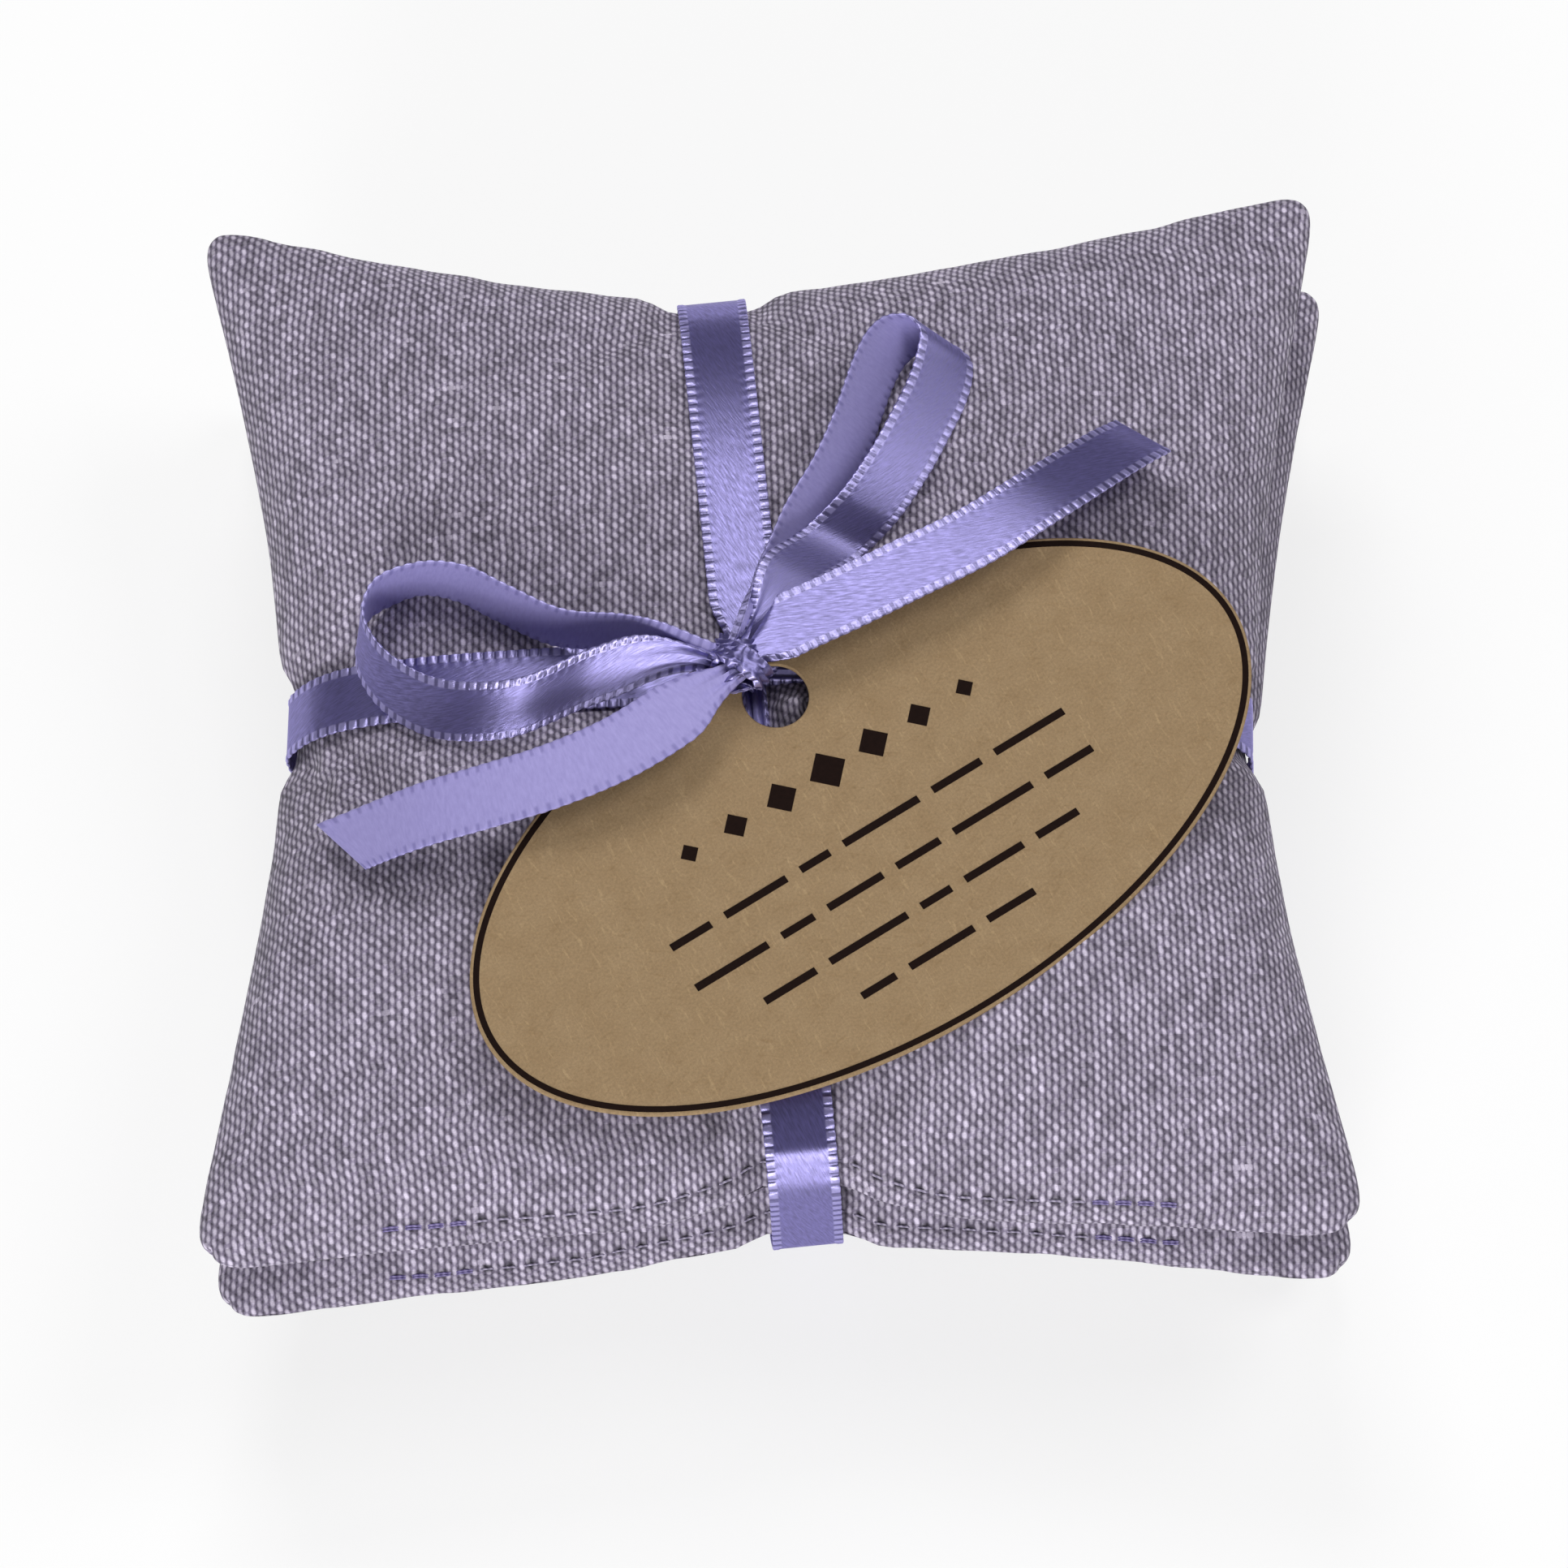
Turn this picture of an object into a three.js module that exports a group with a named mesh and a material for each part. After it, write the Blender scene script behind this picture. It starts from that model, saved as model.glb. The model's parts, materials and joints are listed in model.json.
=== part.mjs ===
import * as THREE from 'three';
import { mergeVertices } from 'three/addons/utils/BufferGeometryUtils.js';

// A stack of three square linen sachets filled with dried lavender, tied both ways with one satin
// ribbon, with a bow on top and an oval card tag threaded on the ribbon. Millimetres, +Z up, the
// front of the stack towards -Y, standing on z = 0.

// Sachets: side from corner tip to corner tip, thickness at the middle and seam height above the
// sachet's own underside.
const TOP_SIDE = 102;
const MIDDLE_SIDE = 101;
const BOTTOM_SIDE = 99;
const TOP_THICK = 14;
const MIDDLE_THICK = 13;
const BOTTOM_THICK = 13;
const TOP_SEAM = 4.5;
const MIDDLE_SEAM = 4.7;
const BOTTOM_SEAM = 6.5;

// How the sachets lie on one another: offsets from the top one and turns in degrees.
const MIDDLE_X = 0.8;
const MIDDLE_Y = -0.4;
const MIDDLE_TURN = -0.9;
const BOTTOM_X = 0.8;
const BOTTOM_Y = 2.6;
const BOTTOM_TURN = 1.4;

// What the tight ribbon does to the sachets: waists drawn in on the sides, seams drawn down or up
// at the waist, and the valleys it presses into the top and the underside.
const SIDE_WAIST = 7.5;
const FRONT_WAIST = 4.2;
const BACK_WAIST = 7.3;
const TOP_SEAM_DROP = 3;
const BOTTOM_SEAM_LIFT = 4;
const TOP_VALLEY = 2;
const TOP_VALLEY_SLOPE = 13;
const BASE_VALLEY_SLOPE = 9.5;
const CORNER_ROUNDING = 1;

// Shares and powers that shape the cushions: how fast a waist runs out to the corners, how far and
// how soon the top's dome falls, and how wide the flat middles and how full the edges are.
const WAIST_POWER = 1.2;
const CROWN_FALL = 0.68;
const CROWN_POWER = 1.6;
const CROWN_EDGE_POWER = 16;
const PLATEAU = 0.93;
const PLATEAU_EDGE_POWER = 3.6;
const CORNER_POWER = 12;
const SEAM_CORNER_POWER = 8;

// Cloth, sewing thread and the room between neighbouring pieces.
const LINEN_THICK = 0.5;
const THREAD_THICK = 0.4;
const CLEARANCE = 0.3;
const SEAM_INSET = 3;
const FILLING_ROOM = 1;
const CLOSING_INSET = 2.6;
const CLOSING_LENGTH = 74;

// Ribbon: width and thickness, where its two bands cross and how far each runs off square.
const RIBBON_WIDTH = 6.35;
const RIBBON_THICK = 0.4;
const CROSSING_X = -1.2;
const CROSSING_Y = -0.5;
const LENGTH_BAND_SKEW = -0.075;
const CROSS_BAND_SKEW = -0.034;

// Knots: the half knot on the crossing and the bow's own knot above the tag.
const HALF_KNOT_WIDTH = 7;
const HALF_KNOT_DEPTH = 6;
const HALF_KNOT_HEIGHT = 1.2;
const BOW_KNOT_WIDTH = 7;
const BOW_KNOT_DEPTH = 5;
const BOW_KNOT_HEIGHT = 3.4;
const BOW_KNOT_X = -1.1;
const BOW_KNOT_Y = -0.8;

// Tag: an oval card with a punched hole near the middle of its long edge.
const TAG_LENGTH = 79;
const TAG_WIDTH = 41;
const TAG_THICK = 0.5;
const HOLE_DIAMETER = 6;
const HOLE_EDGE = 3.2;
const TAG_TURN = 32.4;
const TAG_X = -0.3;
const TAG_Y = -0.4;

// Tag strand: the gathered stretch of ribbon that runs through the hole and round the tag's edge.
const STRAND_WIDTH = 2.2;
const STRAND_THICK = 0.45;
const STRAND_ROOM = 0.65;
const STRAND_SLACK = 1.1;

// Bow: where the lower edge of each loop runs, from the knot out and back, and the middle of each
// tail, all from the bow's knot. The loops stand on edge and lean. At the knot the ribbon is gathered
// to a narrow root.
const LOOP_ROOT = 2.6;
const LOOP_GATHER = 13;
const TAIL_GATHER = 0.25;
const LEFT_LOOP_LEAN = new THREE.Vector3(0.2, 0.22, 0.95).normalize();
const LEFT_LOOP = [
  [-4.2, -0.9], [-7, -1.4], [-13.3, -3], [-20.2, -4.6], [-26.5, -3.6], [-29.9, -1.7], [-32.8, 1.2],
  [-34.3, 4.6], [-34.4, 6.8], [-33.3, 9.2], [-29.3, 10.4], [-25.4, 9.5], [-21.9, 7.3], [-16.7, 4.2],
  [-11.4, 2.7], [-7, 1.6], [-4.2, 1],
];
const RIGHT_LOOP_LEAN = new THREE.Vector3(-0.66, 0.1, 0.74).normalize();
const RIGHT_LOOP = [
  [3.4, 2.2], [7.4, 7], [11.6, 12.2], [14.8, 15.6], [17.7, 20.2], [19.8, 24.6], [21.3, 28.2], [22.1, 31.5],
  [22, 33.4], [20.5, 35], [18.2, 35], [16.2, 33.3], [14.9, 30.8], [13.8, 27.4], [12.6, 23.5], [10.8, 19.2],
  [8.2, 14.6], [6, 9.4], [2.2, 3.1],
];
const LEFT_TAIL = [
  [-3.2, -3.2], [-5.6, -5.6], [-10.7, -8.8], [-16.5, -11.3], [-22.3, -13], [-28.1, -14], [-35.6, -14.6],
];
const RIGHT_TAIL = [
  [3.8, 1.4], [9.9, 4.4], [15.7, 7.4], [21.6, 10.6], [28.3, 15.6], [35.1, 21.8], [37.4, 24.1],
];
const LEFT_TAIL_CUT = -1.6;
const RIGHT_TAIL_CUT = -0.1;
const TAIL_SAG = 4.5;
const TAIL_END_LIFT = 2;

// Mesh counts.
const CELLS = 6;
const BAND_SAMPLES = 48;
const COVER_SAMPLES = 80;
const LOOP_STEPS = 44;
const TAIL_STEPS = 14;
const STRAND_STEPS = 20;
const THREAD_SIDES = 6;
const SEAM_STEPS = 64;
const CLOSING_STEPS = 36;
const SEAM_POINTS = 12;

const linen = new THREE.MeshStandardMaterial({ color: 0x9b94a6, roughness: 0.92, metalness: 0 });
const lavender = new THREE.MeshStandardMaterial({ color: 0x6d6488, roughness: 1, metalness: 0 });
const thread = new THREE.MeshStandardMaterial({ color: 0x8f83bd, roughness: 0.7, metalness: 0 });
const satin = new THREE.MeshStandardMaterial({ color: 0x8f84cc, roughness: 0.4, metalness: 0 });
const kraft = new THREE.MeshStandardMaterial({ color: 0xa2845d, roughness: 0.9, metalness: 0 });

const UP = new THREE.Vector3(0, 0, 1);
const BASE_VALLEY = 2 * (RIBBON_THICK + CLEARANCE) + CLEARANCE;
const stack = new THREE.Group();

function addPiece(name, geometry, material) {
  const mesh = new THREE.Mesh(geometry, material);
  mesh.name = name;
  stack.add(mesh);
}

function lerp(a, b, k) {
  return a + (b - a) * k;
}

// Triangles given as points become one welded geometry.
function weld(triangles) {
  const geometry = new THREE.BufferGeometry();
  geometry.setFromPoints(triangles.flat());
  const welded = mergeVertices(geometry, 1e-4);
  welded.computeVertexNormals();
  return welded;
}

function quad(list, a, b, c, d) {
  for (const corner of [[a, b, c], [a, c, d]]) {
    const [p, q, r] = corner;
    const doubled = p.distanceTo(q) < 1e-4 || q.distanceTo(r) < 1e-4 || r.distanceTo(p) < 1e-4;
    if (!doubled) list.push(corner);
  }
}

// A slab between two grids of points, closed round its edge. Where the edges of the grids are the
// same points, the slab runs out to a thin rim.
function slab(upper, lower) {
  const list = [];
  const last = upper.length - 1;
  for (let i = 0; i < last; i++) {
    for (let j = 0; j < last; j++) {
      quad(list, upper[i][j], upper[i + 1][j], upper[i + 1][j + 1], upper[i][j + 1]);
      quad(list, lower[i][j], lower[i][j + 1], lower[i + 1][j + 1], lower[i + 1][j]);
    }
    quad(list, upper[i][0], lower[i][0], lower[i + 1][0], upper[i + 1][0]);
    quad(list, upper[i + 1][last], lower[i + 1][last], lower[i][last], upper[i][last]);
    quad(list, upper[0][i + 1], lower[0][i + 1], lower[0][i], upper[0][i]);
    quad(list, upper[last][i], lower[last][i], lower[last][i + 1], upper[last][i + 1]);
  }
  return weld(list);
}

// A flat strip along stations that each hold a middle point p, half the width as a vector w and
// the direction n through the thickness. A ring joins its last station to its first.
function strip(stations, thickness, ring) {
  const list = [];
  const corners = stations.map(({ p, w, n }) => {
    const half = n.clone().multiplyScalar(thickness / 2);
    return [
      p.clone().add(w).add(half), p.clone().sub(w).add(half),
      p.clone().sub(w).sub(half), p.clone().add(w).sub(half),
    ];
  });
  const count = ring ? corners.length : corners.length - 1;
  for (let i = 0; i < count; i++) {
    const a = corners[i];
    const b = corners[(i + 1) % corners.length];
    for (let k = 0; k < 4; k++) {
      const m = (k + 1) % 4;
      quad(list, a[k], a[m], b[m], b[k]);
    }
  }
  if (!ring) {
    const a = corners[0];
    const b = corners[corners.length - 1];
    quad(list, a[3], a[2], a[1], a[0]);
    quad(list, b[0], b[1], b[2], b[3]);
  }
  return weld(list);
}

function tube(points, thickness, steps) {
  const corners = [];
  for (let k = 0; k < THREAD_SIDES; k++) {
    const angle = 2 * Math.PI * k / THREAD_SIDES;
    corners.push(new THREE.Vector2(Math.cos(angle), Math.sin(angle)).multiplyScalar(thickness / 2));
  }
  const extrudePath = new THREE.CatmullRomCurve3(points);
  return new THREE.ExtrudeGeometry(new THREE.Shape(corners), { steps, extrudePath });
}

// The line each band follows in plan.
function lengthBandX(y) {
  return CROSSING_X + LENGTH_BAND_SKEW * (y - CROSSING_Y);
}

function crossBandY(x) {
  return CROSSING_Y + CROSS_BAND_SKEW * (x - CROSSING_X);
}

// How strongly a band at place p0 pulls on the cloth at place p of the same edge: all the way at
// the band, nothing at the corners.
function pull(p, p0) {
  const reach = p > p0 ? 1 - p0 : 1 + p0;
  return 1 - Math.abs((p - p0) / reach) ** WAIST_POWER;
}

// Share of the crown's height at shares s and t of a sachet's square: 0 at the seam. The top falls
// away from the middle in a dome, and what is pressed between flat things ends in a flat middle.
function dome(s, t) {
  const reach = (s ** 4 + t ** 4) ** 0.25;
  const edge = (1 - s ** CROWN_EDGE_POWER) * (1 - t ** CROWN_EDGE_POWER);
  return edge * (1 - CROWN_FALL * reach ** CROWN_POWER);
}

function plateau(s, t) {
  const swell = (1 - Math.abs(s) ** PLATEAU_EDGE_POWER) * (1 - Math.abs(t) ** PLATEAU_EDGE_POWER);
  return Math.min(1, (1 - (1 - swell) ** 2) / PLATEAU);
}

// Depth of the valley at a place: flat under the ribbon and eased out on both sides of it.
function valleyAt(x, y, depth, slope) {
  const across = Math.abs(x - lengthBandX(y)) - RIBBON_WIDTH / 2 - CLEARANCE;
  const along = Math.abs(y - crossBandY(x)) - RIBBON_WIDTH / 2 - CLEARANCE;
  return depth * (1 - THREE.MathUtils.smoothstep(Math.min(across, along), 0, slope));
}

function makeSachet(name, side, thick, seam, floor, x, y, turn, seamPull) {
  return {
    name, half: side / 2, floor, seam: floor + seam, top: floor + thick, x, y,
    turn: THREE.MathUtils.degToRad(turn), seamPull,
  };
}

const bottom = makeSachet(
  'bottom', BOTTOM_SIDE, BOTTOM_THICK, BOTTOM_SEAM, 0, BOTTOM_X, BOTTOM_Y, BOTTOM_TURN,
  BOTTOM_SEAM_LIFT,
);
const middle = makeSachet(
  'middle', MIDDLE_SIDE, MIDDLE_THICK, MIDDLE_SEAM, bottom.top + CLEARANCE, MIDDLE_X, MIDDLE_Y,
  MIDDLE_TURN, 0,
);
const top = makeSachet(
  'top', TOP_SIDE, TOP_THICK, TOP_SEAM, middle.top + CLEARANCE, 0, 0, 0,
  -TOP_SEAM_DROP,
);
const sachets = [bottom, middle, top];

function crown(sachet, face, s, t) {
  return sachet === top && face > 0 ? dome(s, t) : plateau(s, t);
}

function valleyOf(sachet, face, x, y) {
  if (sachet === top && face > 0) return valleyAt(x, y, TOP_VALLEY, TOP_VALLEY_SLOPE);
  if (sachet === bottom && face < 0) return valleyAt(x, y, BASE_VALLEY, BASE_VALLEY_SLOPE);
  return 0;
}

// From a sachet's own square to the stack and back.
function placed(sachet, x, y) {
  const c = Math.cos(sachet.turn);
  const s = Math.sin(sachet.turn);
  return [sachet.x + c * x - s * y, sachet.y + s * x + c * y];
}

function lengthBandShare(sachet, t) {
  const y = sachet.y + t * sachet.half;
  return (lengthBandX(y) - sachet.x + Math.sin(sachet.turn) * t * sachet.half) / sachet.half;
}

function crossBandShare(sachet, s) {
  const x = sachet.x + s * sachet.half;
  return (crossBandY(x) - sachet.y - Math.sin(sachet.turn) * s * sachet.half) / sachet.half;
}

// A point of a sachet at shares s and t of its square, each from -1 to 1. face is 1 on the upper
// side, -1 on the lower; inset is the depth below the outer face, edge the distance in from the
// outline and full the share of the crown, which is 0 at the seam and 1 in the middle.
function sachetPoint(sachet, face, s, t, inset, edge, full) {
  const sidePull = pull(t, crossBandShare(sachet, s));
  const endPull = pull(s, lengthBandShare(sachet, t));
  const rounding = CORNER_ROUNDING * (s * t) ** CORNER_POWER;
  const [x, y] = placed(
    sachet,
    s * (sachet.half - SIDE_WAIST * sidePull * s * s - rounding),
    t * (sachet.half - (t < 0 ? FRONT_WAIST : BACK_WAIST) * endPull * t * t - rounding),
  );
  const seam = sachet.seam + sachet.seamPull * (endPull * t * t + sidePull * s * s);
  const level = face > 0 ? sachet.top : sachet.floor;
  const rise = face * (level - seam) - valleyOf(sachet, face, x, y) - CLEARANCE / 2 - inset;
  const draw = 1 - edge / sachet.half;
  const z = seam + face * (CLEARANCE / 2 + rise * full);
  return new THREE.Vector3(lerp(sachet.x, x, draw), lerp(sachet.y, y, draw), z);
}

function outerPoint(sachet, face, s, t) {
  return sachetPoint(sachet, face, s, t, 0, 0, crown(sachet, face, s, t));
}

// Shares of the grid lines across a sachet: closer at the edges, with one cell under the ribbon.
function gridShare(index, share, half) {
  const strap = (RIBBON_WIDTH / 2 + CLEARANCE) / half;
  if (index <= CELLS) {
    return lerp(-1, share - strap, 1 - Math.cos(Math.PI / 2 * index / CELLS));
  }
  const k = (index - CELLS - 1) / CELLS;
  return lerp(share + strap, 1, Math.sin(Math.PI / 2 * k));
}

function gridOf(sachet, pointAt) {
  const rows = [];
  for (let i = 0; i < 2 * CELLS + 2; i++) {
    const row = [];
    for (let j = 0; j < 2 * CELLS + 2; j++) {
      let s = 0;
      let t = 0;
      for (let round = 0; round < 3; round++) {
        s = gridShare(i, lengthBandShare(sachet, t), sachet.half);
        t = gridShare(j, crossBandShare(sachet, s), sachet.half);
      }
      row.push(pointAt(s, t));
    }
    rows.push(row);
  }
  return rows;
}

// The square's shares drawn in to a rounded outline, for what lies inside the seam.
function roundedShare(s, t) {
  const long = Math.max(Math.abs(s), Math.abs(t));
  const round = (Math.abs(s) ** SEAM_CORNER_POWER + Math.abs(t) ** SEAM_CORNER_POWER) ** (1 / SEAM_CORNER_POWER);
  const k = long > 0 ? long / round : 1;
  return [s * k, t * k];
}

function addPanel(sachet, face, name) {
  const outer = gridOf(sachet, (s, t) => outerPoint(sachet, face, s, t));
  const inner = gridOf(sachet, (s, t) => {
    return sachetPoint(sachet, face, s, t, LINEN_THICK, LINEN_THICK, crown(sachet, face, s, t));
  });
  const geometry = face > 0 ? slab(outer, inner) : slab(inner, outer);
  addPiece(`${sachet.name}_${name}_panel`, geometry, linen);
}

function addFilling(sachet) {
  const edge = SEAM_INSET + THREAD_THICK / 2 + FILLING_ROOM;
  const depth = LINEN_THICK + FILLING_ROOM;
  const rim = (s, t) => Math.max(Math.abs(s), Math.abs(t)) > 1 - 1e-9;
  const side = (face) => gridOf(sachet, (s, t) => {
    const [rs, rt] = roundedShare(s, t);
    const point = sachetPoint(sachet, face, rs, rt, depth, edge, crown(sachet, face, s, t));
    if (rim(s, t)) point.z -= face * CLEARANCE / 2;
    return point;
  });
  addPiece(`${sachet.name}_lavender_filling`, slab(side(1), side(-1)), lavender);
}

// The main seam's thread runs inside, round both sides and the back, and leaves the front open
// where the sachet was turned and filled. It starts and ends at the two ends of the closing row.
function addSeamThread(sachet) {
  const reach = CLOSING_LENGTH / 2 / sachet.half;
  const corners = [[-reach, -1], [-1, -1], [-1, 1], [1, 1], [1, -1], [reach, -1]];
  const points = [];
  for (let c = 0; c < corners.length - 1; c++) {
    for (let k = c ? 1 : 0; k <= SEAM_POINTS; k++) {
      const s = lerp(corners[c][0], corners[c + 1][0], k / SEAM_POINTS);
      const t = lerp(corners[c][1], corners[c + 1][1], k / SEAM_POINTS);
      const point = sachetPoint(sachet, 1, ...roundedShare(s, t), 0, SEAM_INSET, 0);
      points.push(point.addScaledVector(UP, -CLEARANCE / 2));
    }
  }
  addPiece(`${sachet.name}_seam_thread`, tube(points, THREAD_THICK, SEAM_STEPS), thread);
}

// The row that closes the front edge lies on the upper panel.
function closingPoint(sachet, s) {
  const point = outerPoint(sachet, 1, s, CLOSING_INSET / sachet.half - 1);
  return point.addScaledVector(UP, CLEARANCE + THREAD_THICK / 2);
}

function addClosingStitch(sachet) {
  const points = [];
  const reach = CLOSING_LENGTH / 2 / sachet.half;
  for (let k = 0; k <= SEAM_POINTS; k++) {
    points.push(closingPoint(sachet, lerp(-reach, reach, k / SEAM_POINTS)));
  }
  addPiece(`${sachet.name}_closing_stitch`, tube(points, THREAD_THICK, CLOSING_STEPS), thread);
}

for (const sachet of sachets) {
  addPanel(sachet, 1, 'upper');
  addPanel(sachet, -1, 'lower');
  addFilling(sachet);
  addSeamThread(sachet);
  addClosingStitch(sachet);
}

// Convex outline of points [r, z], anticlockwise from the lowest r.
function hull(points) {
  const sorted = [...points].sort((a, b) => a[0] - b[0] || a[1] - b[1]);
  const turn = (o, a, b) => (a[0] - o[0]) * (b[1] - o[1]) - (a[1] - o[1]) * (b[0] - o[0]);
  const half = (list) => {
    const line = [];
    for (const p of list) {
      while (line.length > 1 && turn(line[line.length - 2], line[line.length - 1], p) <= 1e-6) line.pop();
      line.push(p);
    }
    return line.slice(0, -1);
  };
  return [...half(sorted), ...half(sorted.reverse())];
}

// The tight ribbon follows the convex outline of what it goes round. From it the band's middle
// line lies out by its clearance and half its own thickness.
function bandPath(points) {
  const outline = hull(points);
  const count = outline.length;
  return outline.map((p, i) => {
    const before = outline[(i + count - 1) % count];
    const after = outline[(i + 1) % count];
    const n = new THREE.Vector2(after[1] - before[1], before[0] - after[0]).normalize();
    const out = CLEARANCE + RIBBON_THICK / 2;
    return { r: p[0] + n.x * out, z: p[1] + n.y * out, n };
  });
}

function addBand(name, path, along, across) {
  const centre = new THREE.Vector3(CROSSING_X, CROSSING_Y, 0);
  const stations = path.map(({ r, z, n }) => ({
    p: centre.clone().addScaledVector(along, r).addScaledVector(UP, z),
    w: across.clone().multiplyScalar(RIBBON_WIDTH / 2),
    n: along.clone().multiplyScalar(n.x).addScaledVector(UP, n.y),
  }));
  addPiece(name, strip(stations, RIBBON_THICK, true), satin);
  return stations;
}

// Points of the stack's outside under a band, as [distance along the band, height].
function underBand(along, shareAt) {
  const points = [];
  for (const sachet of sachets) {
    const strap = RIBBON_WIDTH / 2 / sachet.half;
    for (let k = 0; k <= BAND_SAMPLES; k++) {
      const share = Math.sin(Math.PI * (k / BAND_SAMPLES - 0.5));
      for (const off of [-strap, 0, strap]) {
        for (const face of [1, -1]) {
          const p = outerPoint(sachet, face, ...shareAt(sachet, share, off));
          points.push([(p.x - CROSSING_X) * along.x + (p.y - CROSSING_Y) * along.y, p.z]);
        }
      }
    }
  }
  return points;
}

const crossAlong = new THREE.Vector3(1, CROSS_BAND_SKEW, 0).normalize();
const crossAcross = new THREE.Vector3(crossAlong.y, -crossAlong.x, 0);
const lengthAlong = new THREE.Vector3(LENGTH_BAND_SKEW, 1, 0).normalize();
const lengthAcross = new THREE.Vector3(lengthAlong.y, -lengthAlong.x, 0);

const crossPath = bandPath(underBand(crossAlong, (sachet, p, off) => {
  return [p, crossBandShare(sachet, p) + off];
}));
const crossHigh = Math.max(...crossPath.map(({ z }) => z)) + RIBBON_THICK / 2;
const crossLow = Math.min(...crossPath.map(({ z }) => z)) - RIBBON_THICK / 2;

const lengthPoints = underBand(lengthAlong, (sachet, p, off) => {
  return [lengthBandShare(sachet, p) + off, p];
});
for (const r of [-RIBBON_WIDTH / 2, RIBBON_WIDTH / 2]) {
  lengthPoints.push([r, crossHigh], [r, crossLow]);
}
for (const sachet of sachets) {
  const row = closingPoint(sachet, lengthBandShare(sachet, CLOSING_INSET / sachet.half - 1));
  const r = (row.x - CROSSING_X) * lengthAlong.x + (row.y - CROSSING_Y) * lengthAlong.y;
  lengthPoints.push([r, row.z + THREAD_THICK / 2]);
}
const lengthPath = bandPath(lengthPoints);
const lengthHigh = Math.max(...lengthPath.map(({ z }) => z)) + RIBBON_THICK / 2;

const crossStations = addBand('cross_band', crossPath, crossAlong, crossAcross);
const lengthStations = addBand('length_band', lengthPath, lengthAlong, lengthAcross);

// Knots and tag are stacked on the crossing: half knot, tag strand round the tag's edge, bow knot.
const strandHeight = 2 * (TAG_THICK / 2 + STRAND_ROOM + STRAND_THICK);
const halfKnotLow = lengthHigh + CLEARANCE;
const strandLow = halfKnotLow + HALF_KNOT_HEIGHT + CLEARANCE;
const tagHeight = strandLow + strandHeight / 2;
const bowKnotLow = strandLow + strandHeight + CLEARANCE;
const bridge = new THREE.Vector3(CROSSING_X + TAG_X, CROSSING_Y + TAG_Y, tagHeight);
const bow = new THREE.Vector3(
  bridge.x + BOW_KNOT_X, bridge.y + BOW_KNOT_Y, bowKnotLow + BOW_KNOT_HEIGHT / 2,
);

function addKnot(name, width, depth, height, x, y, low) {
  const geometry = new THREE.SphereGeometry(1, 16, 10);
  geometry.rotateX(Math.PI / 2);
  geometry.scale(width / 2, depth / 2, height / 2);
  geometry.translate(x, y, low + height / 2);
  addPiece(name, geometry, satin);
}

addKnot(
  'half_knot', HALF_KNOT_WIDTH, HALF_KNOT_DEPTH, HALF_KNOT_HEIGHT, CROSSING_X, CROSSING_Y, halfKnotLow,
);
addKnot(
  'bow_knot', BOW_KNOT_WIDTH, BOW_KNOT_DEPTH, BOW_KNOT_HEIGHT, bow.x, bow.y, bowKnotLow,
);

// Points of the top sachet and of what lies on it, for what rests there in turn.
const cover = [];
for (let i = 1; i < COVER_SAMPLES; i++) {
  for (let j = 1; j < COVER_SAMPLES; j++) {
    cover.push(outerPoint(top, 1, 2 * i / COVER_SAMPLES - 1, 2 * j / COVER_SAMPLES - 1));
  }
}

// The lowest that a ribbon can lie within a radius of a place.
function restHeight(x, y, radius) {
  const near = cover.filter((p) => Math.hypot(p.x - x, p.y - y) < radius);
  return Math.max(top.seam, ...near.map((p) => p.z)) + CLEARANCE;
}

// The tag tips down from its strand until its underside rests on the crown. Its frame has u along
// its length, v from the bridge towards its middle and the normal up.
const turn = THREE.MathUtils.degToRad(TAG_TURN);
const tagU = new THREE.Vector3(Math.cos(turn), Math.sin(turn), 0);
const flatV = new THREE.Vector3(Math.sin(turn), -Math.cos(turn), 0);
const middleV = TAG_WIDTH / 2 - HOLE_EDGE / 2;
let slope = Infinity;
for (const p of cover) {
  const u = (p.x - bridge.x) * tagU.x + (p.y - bridge.y) * tagU.y;
  const v = (p.x - bridge.x) * flatV.x + (p.y - bridge.y) * flatV.y;
  const under = (u / (TAG_LENGTH / 2)) ** 2 + ((v - middleV) / (TAG_WIDTH / 2)) ** 2 < 1.05;
  if (under && v > HOLE_EDGE) slope = Math.min(slope, (tagHeight - TAG_THICK / 2 - CLEARANCE - p.z) / v);
}
const tip = Math.atan(slope);
const tagV = flatV.clone().multiplyScalar(Math.cos(tip)).addScaledVector(UP, -Math.sin(tip));
const tagNormal = new THREE.Vector3().crossVectors(tagV, tagU);

const outline = new THREE.Shape();
outline.absellipse(0, 0, TAG_LENGTH / 2, TAG_WIDTH / 2, 0, 2 * Math.PI);
const punch = new THREE.Path();
punch.absellipse(
  0, TAG_WIDTH / 2 - HOLE_EDGE - HOLE_DIAMETER / 2, HOLE_DIAMETER / 2, HOLE_DIAMETER / 2, 0, 2 * Math.PI,
);
outline.holes.push(punch);
const card = new THREE.ExtrudeGeometry(outline, { depth: TAG_THICK, bevelEnabled: false, curveSegments: 32 });
card.translate(0, -middleV, -TAG_THICK / 2);
card.applyMatrix4(new THREE.Matrix4().makeBasis(tagU, tagV.clone().negate(), tagNormal).setPosition(bridge));
addPiece('kraft_tag', card, kraft);

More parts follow.
